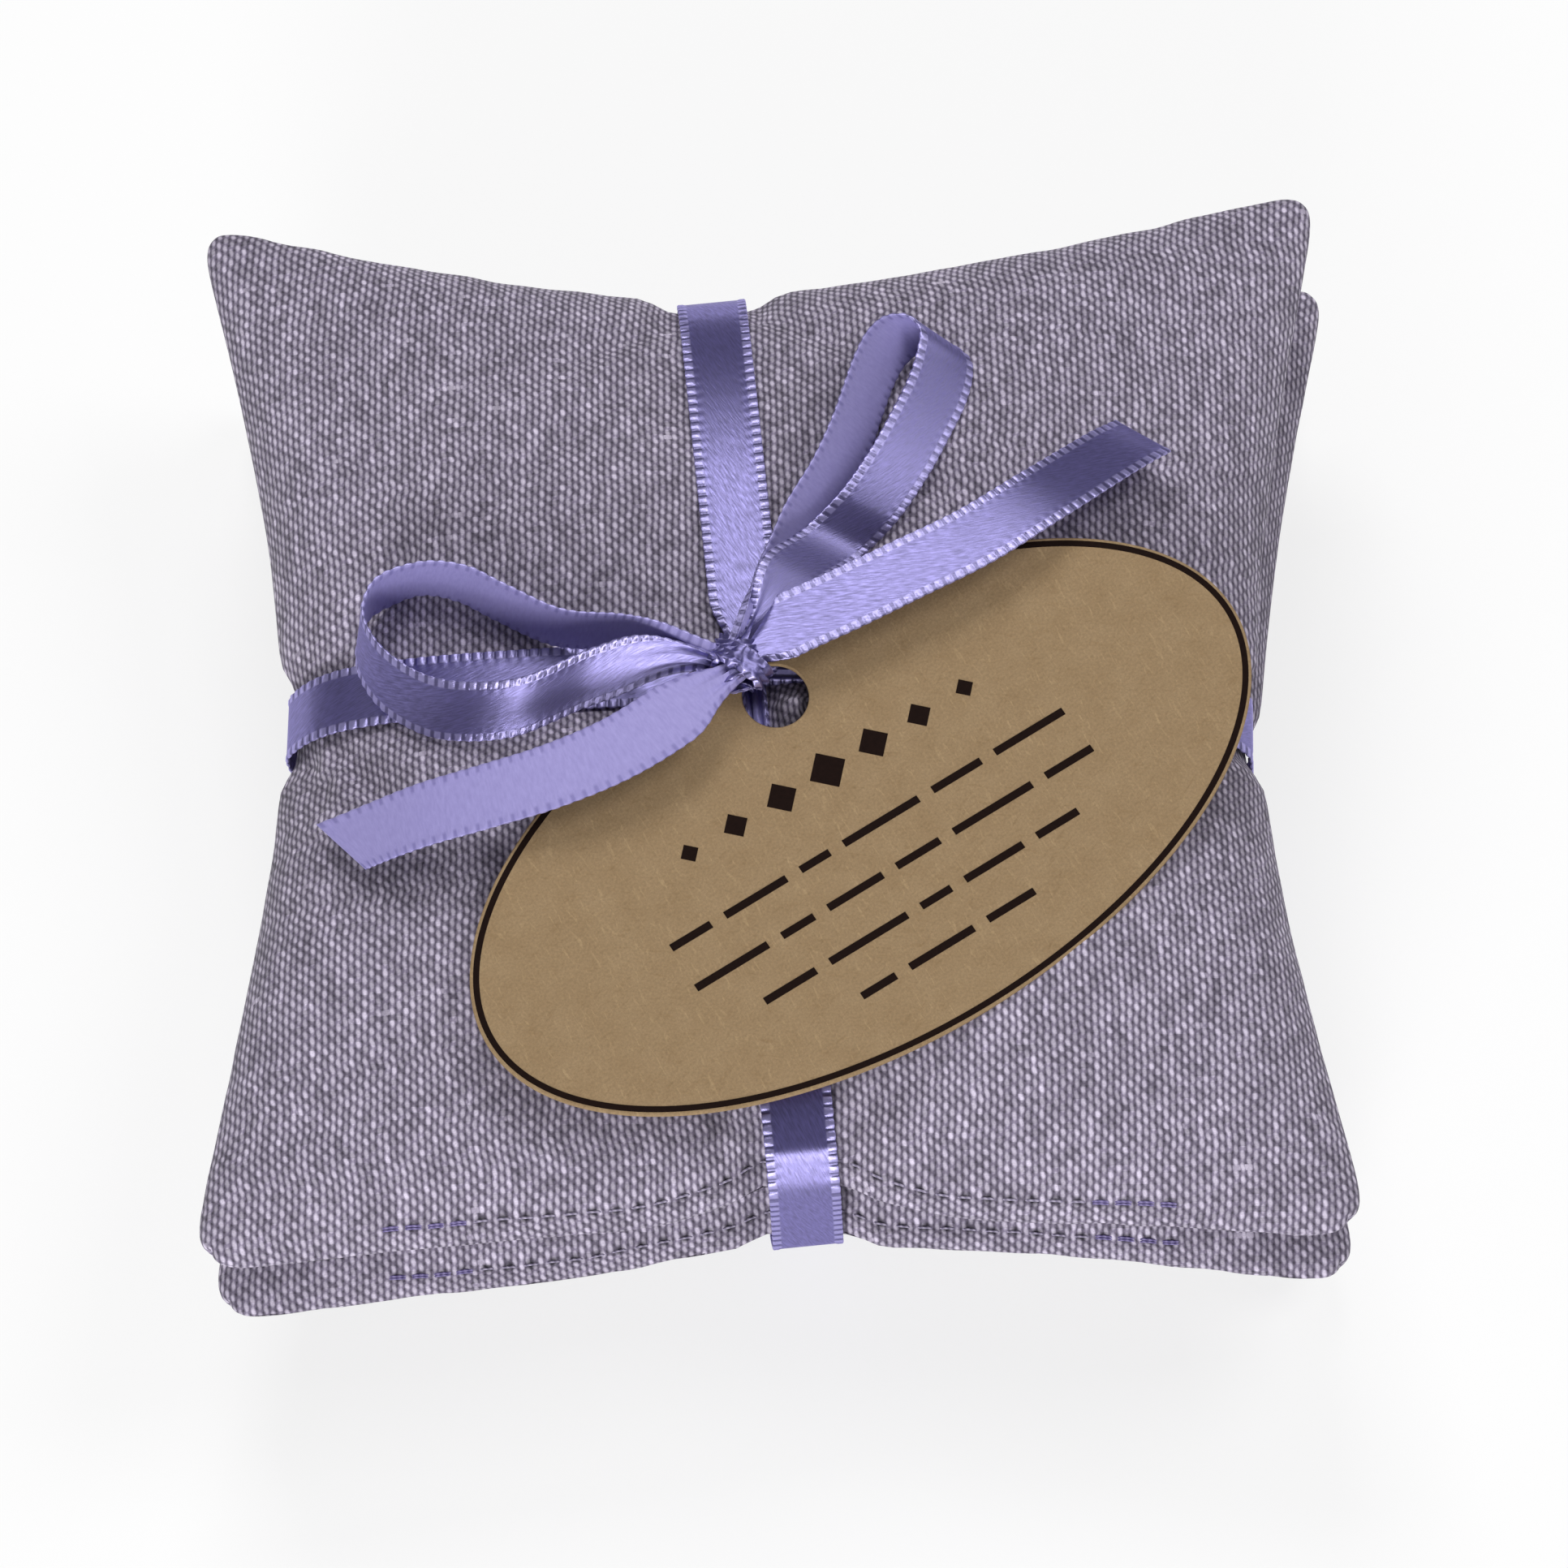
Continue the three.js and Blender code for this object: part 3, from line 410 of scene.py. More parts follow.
CLOTH_CELLS = 112
LUMP_HEIGHT, LUMP_SIZE, LUMP_RIM = 0.3, 9.0, 8
PUCKER_HEIGHT, PUCKER_SIZE, PUCKER_RIM = 0.5, 3.6, 3.0
GROOVE_DEPTH, GROOVE_WIDTH = 0.45, 0.8
LOWEST = 0.02
s, t = rim_grid(CLOTH_CELLS)
cloth = {}
for number, (name, sachet) in enumerate(SACHETS.items()):
    rim = sachet["side"] / 2 * np.minimum(1 - np.abs(s), 1 - np.abs(t))
    moved = swell(name)
    skins, places = {}, {}
    for face in (1, -1):
        form = sachet_form(name, face, s, t)
        if moved:
            form += between(moved[face], s, t)
        steps = [np.diff(form, axis=k, prepend=form.take([0], k)) for k in (0, 1)]
        run = [np.cumsum(np.linalg.norm(step, axis=-1), axis=k) for k, step in enumerate(steps)]
        centre = CLOTH_CELLS // 2
        from_centre = run[0] - run[0][centre], run[1] - run[1][:, centre:centre + 1]
        places[face] = np.stack([*from_centre, run[1]], axis=-1)
        flat = form.reshape(-1, 3)
        lumps = LUMP_HEIGHT * rough(flat, LUMP_SIZE, number + 3 * face).reshape(s.shape)
        lumps *= smoothstep(rim, 0, LUMP_RIM)
        puckers = PUCKER_HEIGHT * rough(flat, PUCKER_SIZE, 7 + number + face).reshape(s.shape)
        puckers *= np.exp(-rim / PUCKER_RIM)
        groove = bell(run[1] - STITCH_INSET, GROOVE_WIDTH) * (np.abs(places[face][..., 0]) < STITCH_REACH)
        form[..., 2] += face * (lumps - GROOVE_DEPTH * groove) * (rim > 0) + puckers
        form[..., 2] = np.maximum(form[..., 2], LOWEST)
        skins[face] = form
    edge = rim == 0
    skins[-1][edge] = skins[1][edge]
    cloth[name] = skins[1], places[1]
    sewn = piece(
        f"{name}_linen_sachet", [cushion(skins[1], skins[-1], places[1], places[-1])], linen, "stack",
        [f"{name}_upper_panel", f"{name}_lower_panel"],
    )

# Lavender filling
# Dried lavender buds, poured loose into each sachet before it is closed. They are hidden, and they give the cloth
# its slightly lumpy surface.
BUD_SIZE = 2.2
# Dried buds: small rounded grains of dull violet, painted darker in the gaps between them as painted shade.
lavender, node, place, *_ = material("dried lavender buds")
bud = node("TexVoronoi", {"Vector": place, "Scale": 1 / BUD_SIZE}).outputs["Distance"]
node("OutputMaterial", node("BsdfPrincipled", {
    "Base Color": node("MixRGB", bud, "#8A7FA6", "#4B4260"),
    "Normal": node("Bump", {"Height": bud, "Strength": 0.8, "Distance": 0.6 * MM}, invert=True),
    "Roughness": 0.9,
}))
FILLED, FILLING_GAP, FILLING_LUMPS = 0.9, 1.6, 0.02
FILLING_CELLS, FILLING_ROUND = 40, 8
s, t = rim_grid(FILLING_CELLS)
for name, sachet in SACHETS.items():
    half = sachet["side"] / 2
    places = np.stack([s * half, t * half, 0 * s], axis=-1)
    reach = (s ** FILLING_ROUND + t ** FILLING_ROUND) ** (1 / FILLING_ROUND)
    rounded = np.maximum(np.abs(s), np.abs(t)) / np.maximum(reach, 1e-9)
    upper, lower = (sachet_form(name, face, FILLED * rounded * s, FILLED * rounded * t) for face in (1, -1))
    core = (upper[..., 2] + lower[..., 2]) / 2
    height = (upper[..., 2] - lower[..., 2]) / 2 - FILLING_GAP
    heap = np.clip(height, 0, None) * (1 - s ** FILLING_ROUND) * (1 - t ** FILLING_ROUND)
    lumps = FILLING_LUMPS * rough(upper.reshape(-1, 3), BUD_SIZE, 21).reshape(s.shape)
    upper[..., 2] = core + heap * (1 + lumps)
    lower[..., 2] = core - heap * (1 - lumps)
    heaped = cushion(upper, lower, places, places)
    piece(f"{name}_lavender_buds", [heaped], lavender, "stack", [f"{name}_lavender_filling"])

# Sewing thread
# Twisted cotton thread. The main seam lies inside the turned edge, and a row of stitches closes the front, with a
# few stitches sewn twice at each end to hold it.
THREAD_THICK, THREAD_SIDES, THREAD_TIP = 0.24, 6, 0.45
TWIST_PITCH = 0.5
# Twisted cotton: dull, with slanted strands painted lighter on their raised tops and darker in the grooves between
# them as painted light and shade, and stronger in colour where it is sewn twice.
cotton, node, _, along, across, third = material("twisted cotton thread")
turns = node("Math MULTIPLY_ADD", along, 1 / TWIST_PITCH, across)
twist_angle = node("Math MULTIPLY", turns, 2 * math.pi)
twist = node("Math SINE", twist_angle)
strand = node("MapRange", twist, -1.0, 1.0)
# Painted light and shade: each strand's raised top is painted lighter and its groove darker.
plain = node("MixRGB", strand, "#79718A", "#A69EB4")
massed = node("MixRGB", strand, "#5D5284", "#857AA8")
node("OutputMaterial", node("BsdfPrincipled", {
    "Base Color": node("MixRGB", third, plain, massed),
    "Normal": node("Bump", {"Height": strand, "Strength": 0.6, "Distance": 0.06 * MM}),
    "Roughness": 0.7,
}))


def unit(vectors):
    """Vectors of length 1."""
    return vectors / np.linalg.norm(vectors, axis=1)[:, None]


def travelled(points):
    """How far along a line of points each one lies."""
    return np.concatenate([[0], np.cumsum(np.linalg.norm(np.diff(points, axis=0), axis=1))])


def tangents(points):
    return unit(np.gradient(points, axis=0))


def ring_faces(count, around, closed=False):
    """Faces that join count rings of around points each and, if closed, the last ring to the first."""
    faces = []
    for k in range(count if closed else count - 1):
        a, b = k * around, (k + 1) % count * around
        for m in range(around):
            n = (m + 1) % around
            faces.append([a + m, a + n, b + n, b + m])
    return faces


def tube(points, held):
    """A closed round thread along points in mm with blunt tips at both ends; held is 1 where it is sewn twice."""
    tangent = tangents(points)
    flat = unit(np.cross(tangent, (0.0, 0.0, 1.0)))
    upright = np.cross(flat, tangent)
    travel = travelled(points)
    skin, places = [], []
    count = len(points)
    for k in range(count):
        radius = THREAD_THICK / 2 * (THREAD_TIP if k in (0, count - 1) else 1)
        for m in range(THREAD_SIDES):
            angle = 2 * math.pi * m / THREAD_SIDES
            skin.append(points[k] + radius * (math.cos(angle) * flat[k] + math.sin(angle) * upright[k]))
            places.append((travel[k], m / THREAD_SIDES, held))
    faces = ring_faces(count, THREAD_SIDES)
    faces.append(list(range(THREAD_SIDES)))
    faces.append([(count - 1) * THREAD_SIDES + m for m in reversed(range(THREAD_SIDES))])
    return np.array(skin), faces, np.array(places)


def stitch_row(name, inset):
    """Points of a sachet's upper face inset mm in from its front seam, and how far each lies along it."""
    grid, places = cloth[name]
    both = np.concatenate([grid, places], axis=2)
    row = np.array([[np.interp(inset, column[:, 5], column[:, m]) for m in range(4)] for column in both])
    return row[:, :3], row[:, 3]


HELD_STITCHES, HELD_APART = 4, 0.12
STITCH_POINTS, STITCH_SPAN, HELD_SPAN = 7, (0.16, 0.84), (0.04, 0.96)
STITCH_RISE, STITCH_SINK, STITCH_TILT = 0.3, 0.22, 0.3
for name in SACHETS:
    stitches = []
    count = int(2 * STITCH_REACH / STITCH_PITCH)
    rows = {offset: stitch_row(name, STITCH_INSET + offset) for offset in (-HELD_APART, 0.0, HELD_APART)}
    for k in range(count):
        doubled = k < HELD_STITCHES or k >= count - HELD_STITCHES
        start = -STITCH_REACH + k * STITCH_PITCH
        for offset in ((-HELD_APART, HELD_APART) if doubled else (0.0,)):
            row, along_row = rows[offset]
            line = []
            for w in np.linspace(*(HELD_SPAN if doubled else STITCH_SPAN), STITCH_POINTS):
                point = np.array([np.interp(start + w * STITCH_PITCH, along_row, row[:, m]) for m in range(3)])
                lift = STITCH_RISE * math.sin(math.pi * w) - STITCH_SINK
                line.append(point + np.array((0, -STITCH_TILT * lift, lift)))
            stitches.append(tube(np.array(line), float(doubled)))
    piece(f"{name}_closing_stitches", stitches, cotton, "stack", [f"{name}_closing_stitch"])
    seam = frame["nodes"][f"{name}_seam_thread"]
    seam.data.materials.clear()
    seam.data.materials.append(cotton)

# Ribbon bands
# One length of narrow satin ribbon with a woven selvedge goes round the stack both ways. It is drawn tight, so
# it spans the hollows of the cloth, and it gathers where it runs into the knot.
SELVEDGE_PITCH, SELVEDGE_FROM, BAR_END, GAP_FROM = 1.05, 2.3, 0.26, 0.42


def selvedge(node, along, across, full, gap_shade):
    """How far a place lies in the woven edge, whole from full mm off the middle, and in a gap between its bars,
    where the last argument sets how strongly the gap's painted shade shows.
    """
    side = node("Math ABSOLUTE", across)
    turns = node("Math MULTIPLY", along, 1 / SELVEDGE_PITCH)
    off_bar = node("Math ABSOLUTE", off_middle(node, turns))
    edge = node("MapRange", side, SELVEDGE_FROM, full)
    return edge, node("MapRange", off_bar, BAR_END, GAP_FROM, 0.0, gap_shade)


# Satin of polyester filament with a woven selvedge: long floats that shine along the light, painted lighter as they
# rise as a painted sheen, very fine slanted lines, and a row of small raised bars along each edge, painted pale as a
# painted highlight, with painted shade in the gaps between them.
FLOAT_LENGTH, FLOAT_WIDTH, FLOAT_SLANT = 1.1, 0.17, 0.4
SATIN_TINT, SATIN_SHEEN = "#DAD4FF", "#CFC8FF"
satin, node, _, along, across, _ = material("woven polyester satin")
edge, gap = selvedge(node, along, across, 2.45, 1.0)
# Painted shade: the gaps between the selvedge bars are painted dark.
gap_painted_shade = node("Math MULTIPLY", edge, gap)
bead = node("Math MULTIPLY", node("Math SUBTRACT", 1.0, gap), edge)
slant = node("Math MULTIPLY_ADD", along, FLOAT_SLANT, across)
float_place = node(
    "CombineXYZ", node("Math MULTIPLY", along, 1 / FLOAT_LENGTH), node("Math MULTIPLY", slant, 1 / FLOAT_WIDTH),
)
floats = node("TexNoise", {"Vector": float_place, "Scale": 1.0, "Detail": 2.0, "Roughness": 0.6})
tone = node("MapRange", floats, 0.32, 0.68)
# Painted sheen: each float is painted lighter the higher it rises, for streaks of sheen.
float_painted_sheen_colour = node("MixRGB", tone, "#393270", "#6059A3")
# Painted highlight: the selvedge bars are painted pale.
bar_painted_highlight_colour = node("MixRGB", bead, float_painted_sheen_colour, "#9F98D1")
thread_height = node("Math MULTIPLY_ADD", floats, 0.6, bead)
across_thread = node("Attribute", attribute_name="across_thread").outputs["Vector"]
turned_line = node(
    "VectorTransform", across_thread, vector_type="VECTOR", convert_from="OBJECT", convert_to="WORLD",
)
node("OutputMaterial", node("BsdfPrincipled", {
    "Base Color": node("MixRGB", gap_painted_shade, bar_painted_highlight_colour, "#352E68"),
    "Roughness": node("MapRange", floats, 0.3, 0.7, 0.52, 0.37),
    "Normal": node("Bump", {"Height": thread_height, "Strength": 0.5, "Distance": 0.06 * MM}),
    "Tangent": turned_line, "Anisotropic": 0.95, "IOR": 3.2, "Specular IOR Level": 0.95, "Specular Tint": SATIN_TINT,
    "Metallic": 0.5, "Sheen Weight": 0.15, "Sheen Tint": SATIN_SHEEN,
}))
# Back of the same satin, where the short cross threads show: dull, paler and even, with faint fine ribs across it,
# painted a little lighter where they rise as painted light, and hardly any bars along its edges, with faint painted
# shade in the gaps between them.
RIB_PITCH = 0.3
satin_back, node, _, along, across, _ = material("dull back of woven polyester satin")
edge, gap = selvedge(node, along, across, 2.6, 0.45)
# Faint painted shade in the gaps between the selvedge bars.
gap_painted_shade = node("Math MULTIPLY", edge, gap)
rib_place = node(
    "CombineXYZ", node("Math MULTIPLY", along, 1 / RIB_PITCH), node("Math MULTIPLY", across, 1 / FLOAT_LENGTH),
)
ribs = node("TexNoise", {"Vector": rib_place, "Scale": 1.0, "Detail": 3.0, "Roughness": 0.6})
tone = node("MapRange", ribs, 0.3, 0.7)
# Painted light: the ribs are painted a little lighter where they rise.
rib_painted_light_colour = node("MixRGB", tone, "#8F88BF", "#9C95CB")
node("OutputMaterial", node("BsdfPrincipled", {
    "Base Color": node("MixRGB", gap_painted_shade, rib_painted_light_colour, "#544D88"),
    "Normal": node("Bump", {"Height": ribs, "Strength": 0.15, "Distance": 0.03 * MM}),
    "Roughness": 0.55, "Specular IOR Level": 0.6, "Specular Tint": SATIN_TINT,
    "Sheen Weight": 0.3, "Sheen Tint": SATIN_SHEEN,
}))
RIBBON_STEP = 0.21


def evenly(points, step, ring=False):
    """Points about step mm apart along a line of points, each one's place on the old line, and how far along it
    lies. A ring gets a whole number of selvedge bars."""
    line = np.concatenate([points, points[:1]]) if ring else points
    travel = travelled(line)
    count = max(int(round(travel[-1] / step)), 2)
    if ring:
        count = max(int(round(travel[-1] / SELVEDGE_PITCH)), 2) * int(round(SELVEDGE_PITCH / step))
    at = np.linspace(0, travel[-1], count + 1)
    place = np.interp(at, travel, np.arange(len(line)))
    even = np.stack([np.interp(at, travel, line[:, k]) for k in range(3)], axis=1)
    return even, place, at


RIBBON_THICK = 0.22
EDGE_IN, EDGE_OUT = 0.77, 0.84
HALF_COLUMNS = [0.25, 0.5, EDGE_IN, EDGE_OUT, 0.91, 0.97, 1]
RIBBON_COLUMNS = np.array([-column for column in HALF_COLUMNS[::-1]] + [0] + HALF_COLUMNS)
GAP_THIN, BAR_THICK, BAR_OUT, EDGE_THIN = 0.25, 0.9, 0.012, 0.5
PLEATS, CUT_END = 3, 8


def ribbon(points, wide, out, pleat=0, cut=0, ring=False):
    """A ribbon along points: wide is half its width as a vector, out its face's direction, pleat its folds' height,
    and cut how far its slanted end runs forward at one edge and back at the other."""
    count = len(points)
    travel = travelled(points)
    tangent = tangents(points)
    pleat = np.broadcast_to(np.asarray(pleat, float), (count,))
    bar = 0.5 - 0.5 * np.cos(2 * math.pi * travel / SELVEDGE_PITCH)
    ending = (travel / travel[-1]) ** CUT_END
    skin, places = [], []
    for side in (1, -1):
        for column in RIBBON_COLUMNS[::side]:
            edge = smoothstep(abs(column), EDGE_IN, EDGE_OUT)
            half_thick = RIBBON_THICK / 2 * (1 - edge * GAP_THIN + edge * BAR_THICK * bar)
            half_thick *= EDGE_THIN if abs(column) == 1 else 1
            reach = column * (1 + BAR_OUT * edge * (bar - 0.5))
            fold = pleat * np.cos(PLEATS * math.pi * column)
            point = points + wide * reach[:, None] + out * (fold + side * half_thick)[:, None]
            skin.append(point + tangent * (cut * column * ending)[:, None])
            side_place = np.full(count, column * RIBBON_WIDTH / 2)
            places.append(np.stack([travel, side_place, np.zeros(count)], axis=1))
    around = 2 * len(RIBBON_COLUMNS)
    faces = ring_faces(count, around)
    if not ring:
        faces.append(list(range(around))[::-1])
        faces.append([(count - 1) * around + m for m in range(around)])
    skin, places = (np.stack(rows, axis=1).reshape(-1, 3) for rows in (skin, places))
    across_thread = np.broadcast_to(unit(wide), (count, 3))
    return skin, faces, places, np.repeat(across_thread, around, axis=0)


def hull(points):
    """The convex outline of points in a plane, in order."""
    points = sorted(set(map(tuple, np.round(points, 4))))
    outline = []
    for line in (points, points[::-1]):
        side = []
        for p in line:
            while len(side) > 1:
                a, b = side[-2], side[-1]
                if (b[0] - a[0]) * (p[1] - a[1]) - (b[1] - a[1]) * (p[0] - a[0]) > 0:
                    break
                side.pop()
            side.append(p)
        outline += side[:-1]
    return np.array(outline)


def gathered(root, share):
    """The width of a ribbon that spreads from root mm at its knot."""
    return root + (RIBBON_WIDTH - root) * share


def solid_corners(node_name):
    return np.array([v.co for v in frame["nodes"][node_name].data.vertices]) / MM


up = np.array((0.0, 0.0, 1.0))
BAND_ROOT, BAND_PLEAT, BAND_SINK, BAND_LOWEST = 2.2, 0.55, 0.1, 0.2
# Over which distances from the knot a band spreads to its full width, on its free side and on the tag's side.
FREE_SPREAD, TAG_SPREAD = (0.5, 8), (9, 22)
INSET_FROM, EASE_ROUNDS = 0.6, 12
TOP_RUN, UNDERNEATH = 0.4, 99


def band(name, node_name, direction, inset, tag_side):
    """A band that follows its CAD solid round the stack, drawn in by inset mm at its ends, gathered at the knot and
    further on the tag's side."""
    direction = np.array(direction) / np.linalg.norm(direction)
    across = np.array((-direction[1], direction[0], 0))
    corners = solid_corners(node_name) - crossing
    outline = hull(np.stack([corners @ direction, corners[:, 2]], axis=1))
    line = np.stack([outline[:, 0], 0 * outline[:, 0], outline[:, 1]], axis=1)
    line, _, _ = evenly(line, RIBBON_STEP, ring=True)
    far = np.abs(line[:, 0])
    line[:, 0] -= np.sign(line[:, 0]) * inset * smoothstep(far, INSET_FROM * far.max(), far.max())
    for _ in range(EASE_ROUNDS):
        line[:-1] = (np.roll(line[:-1], 1, axis=0) + 2 * line[:-1] + np.roll(line[:-1], -1, axis=0)) / 4
        line[-1] = line[0]
    step = np.roll(line[:-1], -1, axis=0) - np.roll(line[:-1], 1, axis=0)
    step = unit(np.concatenate([step, step[:1]]))
    knot_far = np.where(line[:, 2] > TOP_RUN * line[:, 2].min(), np.abs(line[:, 0]), UNDERNEATH)
    spread = np.where(
        line[:, 0] * tag_side < 0, smoothstep(knot_far, *FREE_SPREAD), smoothstep(knot_far, *TAG_SPREAD),
    )
    width = gathered(BAND_ROOT, spread)
    points = crossing + line[:, :1] * direction + (line[:, 2:] - BAND_SINK) * up
    points[:, 2] = np.maximum(points[:, 2], BAND_LOWEST)
    out = step[:, 2:] * direction - step[:, :1] * up
    shape = ribbon(points, width[:, None] / 2 * across, out, pleat=BAND_PLEAT * (1 - spread), ring=True)
    piece(name, [shape], satin, "stack", [node_name])


band("cross_ribbon", "cross_band", (1, CROSS_BAND_SKEW, 0), inset=0.8, tag_side=1)
band("length_ribbon", "length_band", (LENGTH_BAND_SKEW, 1, 0), inset=0.6, tag_side=-1)

# Half knot and tag strand
# On the crossing the ribbon's two ends cross in a half knot. One end, gathered narrow, goes through the tag's hole
# and back round its edge, which holds the tag under the bow.
joints = {joint["name"]: joint for joint in frame["joints"]}
tag_normal = np.array(joints["tag_swing"]["axis"])
tag_long = -np.array(joints["tag_lift"]["axis"])
tag_down = np.cross(tag_normal, tag_long)
tag_down = tag_down if tag_down[1] < 0 else -tag_down
bridge = np.array(joints["tag_lift"]["pos_m"]) / MM
bow = np.array(joints["left_tail_lift"]["pos_m"]) / MM
WRAP_POINTS = 60
WRAP_UNEVEN, WRAP_LUMPS = 0.07, 1.7
# The depth and size of the crushed ribbon's creases, and the seeds of their three directions.
CREASES = ((0.25, 1.3, (3, 5, 9)), (0.12, 0.55, (4, 6, 8)))


def wrap(centre, axis, first, second, width, pleat, squeeze, seed):
    """A closed turn of ribbon round a knot: first and second are the turn's two radii as vectors, and squeeze is how
    much its width varies."""
    angle = np.linspace(0, 2 * math.pi, WRAP_POINTS, endpoint=False)
    ring = np.cos(angle)[:, None] * first + np.sin(angle)[:, None] * second
    ring *= 1 + WRAP_UNEVEN * rough(ring, WRAP_LUMPS, seed)[:, None]
    line, _, _ = evenly(ring, RIBBON_STEP, ring=True)
    width = width * (1 + squeeze * np.sin(2 * math.pi * np.arange(len(line)) / len(line) + seed))
    points, *rest = ribbon(centre + line, width[:, None] / 2 * axis, unit(line), pleat=pleat, ring=True)
    for depth, size, seeds in CREASES:
        points += depth * np.stack([rough(points, size, seed + k) for k in seeds], axis=1)
    return points, *rest


HALF_KNOT_TURN = 0.6
low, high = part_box("half_knot")
half_size = np.array(high - low) / MM / 2
turned = np.array((math.cos(HALF_KNOT_TURN), math.sin(HALF_KNOT_TURN), 0))
aside = np.array((-turned[1], turned[0], 0))
piece("ribbon_half_knot", [
    wrap(
        crossing, turned, aside * half_size[1] * 0.55, up * half_size[2] * 0.9,
        width=3.4, pleat=0.2, squeeze=0.1, seed=1,
    ),
    wrap(
        crossing, aside, turned * half_size[0] * 0.55, up * half_size[2] * 0.8,
        width=3.0, pleat=0.2, squeeze=0.1, seed=2,
    ),
], satin, "stack", ["half_knot"])
STRAND_REACH, STRAND_RISE, STRAND_ASIDE = 2.925, 1.125, 0.9
piece("ribbon_tag_strand", [
    wrap(
        bridge - STRAND_ASIDE * tag_long, tag_long, tag_down * STRAND_REACH, tag_normal * STRAND_RISE,
        width=1.4, pleat=0.18, squeeze=0.08, seed=4,
    ),
], satin, "tag_hang", ["tag_strand"])

# Kraft tag
# An oval of brown kraft card, die cut, with a punched hole near the middle of one long side. It hangs by the hole on
# the ribbon's strand.
TAG_LENGTH, TAG_WIDTH, TAG_THICK = 79.0, 41.0, 0.5
HOLE_DIAMETER, HOLE_EDGE = 6.0, 3.2
# Uncoated kraft card of unbleached pulp: dull warm brown, mottled, with fine darker and paler fibres.
FIBRE_LENGTH, FIBRE_WIDTH = 1.6, 0.36
FIBRES = ((0.3, "#6F5535"), (1.5, "#C2A77E"), (2.5, "#765B39"))
kraft, node, place, *_ = material("uncoated kraft card")
cloud = node("TexNoise", {"Vector": place, "Scale": 0.35, "Detail": 4.0})
card_colour = node("MixRGB", cloud, "#876F50", "#998263")
for angle, tint in FIBRES:
    turn = node("VectorRotate", {"Vector": place, "Angle": angle}, rotation_type="Z_AXIS")
    stretch = node("VectorMath MULTIPLY", turn, (1 / FIBRE_LENGTH, 1 / FIBRE_WIDTH, 1.0))
    fibre = node("TexNoise", {"Vector": stretch, "Scale": 1.0, "Detail": 2.0, "Distortion": 0.8})
    shown = node("MapRange", fibre, 0.58, 0.8, 0.0, 0.3)
    card_colour = node("MixRGB", shown, card_colour, tint)
grit = node("TexNoise", {"Vector": place, "Scale": 4.0, "Detail": 3.0, "Roughness": 0.7})
speck = node("MapRange", grit, 0.3, 0.7, 0.84, 1.14)
node("OutputMaterial", node("BsdfPrincipled", {
    "Base Color": node("MixRGB", 1.0, card_colour, speck, blend_type="MULTIPLY"),
    "Normal": node("Bump", {"Height": cloud, "Strength": 0.25, "Distance": 0.08 * MM}),
    "Roughness": 0.85, "Specular IOR Level": 0.3,
}))
tag_middle = TAG_WIDTH / 2 - HOLE_EDGE / 2
hole_middle = HOLE_EDGE / 2 + HOLE_DIAMETER / 2
OVAL_POINTS = 240
oval_angle = np.linspace(0, 2 * math.pi, OVAL_POINTS, endpoint=False)


def oval(inset):
    """The tag's outline drawn in by inset mm, in the tag's own plane."""
    a, b = TAG_LENGTH / 2, TAG_WIDTH / 2
    line = np.stack([a * np.cos(oval_angle), b * np.sin(oval_angle)], axis=1)
    facing = np.stack([b * np.cos(oval_angle), a * np.sin(oval_angle)], axis=1)
    return line - inset * unit(facing) + (0, tag_middle)


def on_tag(flat, level):
    """Points of the tag's plane, level mm above the card's middle, in the frame, and their places on the card."""
    flat = np.asarray(flat, float)
    points = bridge + flat[:, :1] * tag_long + flat[:, 1:] * tag_down + level * tag_normal
    return points, np.concatenate([flat, np.zeros((len(flat), 1))], axis=1)


def rings(loops, closed=True):
    """A skin over loops of equally many points, each given as points and their places."""
    points, places = (np.concatenate(rows) for rows in zip(*loops))
    return points, ring_faces(len(loops), len(loops[0][0]), closed), places


EDGE_ROUND, EDGE_LEVEL, TAG_RINGS = 0.1, 0.7, 9
outer = oval(0)
toward = unit(outer - (0, hole_middle))
hole = toward * HOLE_DIAMETER / 2 + (0, hole_middle)
loops = []
for face, edge in ((1, outer), (-1, hole)):
    level = face * TAG_THICK / 2
    for k in np.linspace(0, 1, TAG_RINGS)[::face]:
        loops.append(on_tag((hole + toward * EDGE_ROUND) * (1 - k) + oval(EDGE_ROUND) * k, level))
    loops += [on_tag(edge, EDGE_LEVEL * level), on_tag(edge, -EDGE_LEVEL * level)]
piece("oval_kraft_tag", [rings(loops)], kraft, "tag", ["kraft_tag"], smooth=False)

# Tag print
# One dark ink, printed flat on the card before it is cut: the border line, and in place of the card's text, which is
# left off, a row of plain diamonds and rows of plain dashes.
# Dark brown ink soaked into the card: matt, nearly black, a little uneven.
ink, node, place, *_ = material("printed dark brown ink")
grain = node("TexNoise", {"Vector": place, "Scale": 2.5, "Detail": 3.0})
node("OutputMaterial", node("BsdfPrincipled", {
    "Base Color": node("MixRGB", grain, "#120806", "#1E110D"),
    "Roughness": 0.9, "Specular IOR Level": 0.1,
}))
INK_LOW, INK_HIGH = TAG_THICK / 2 - 0.02, TAG_THICK / 2 + 0.03
BORDER_INSET, BORDER_WIDTH = 0.28, 0.55
DASH_HALF, DASH_GAP = 0.36, 1.5
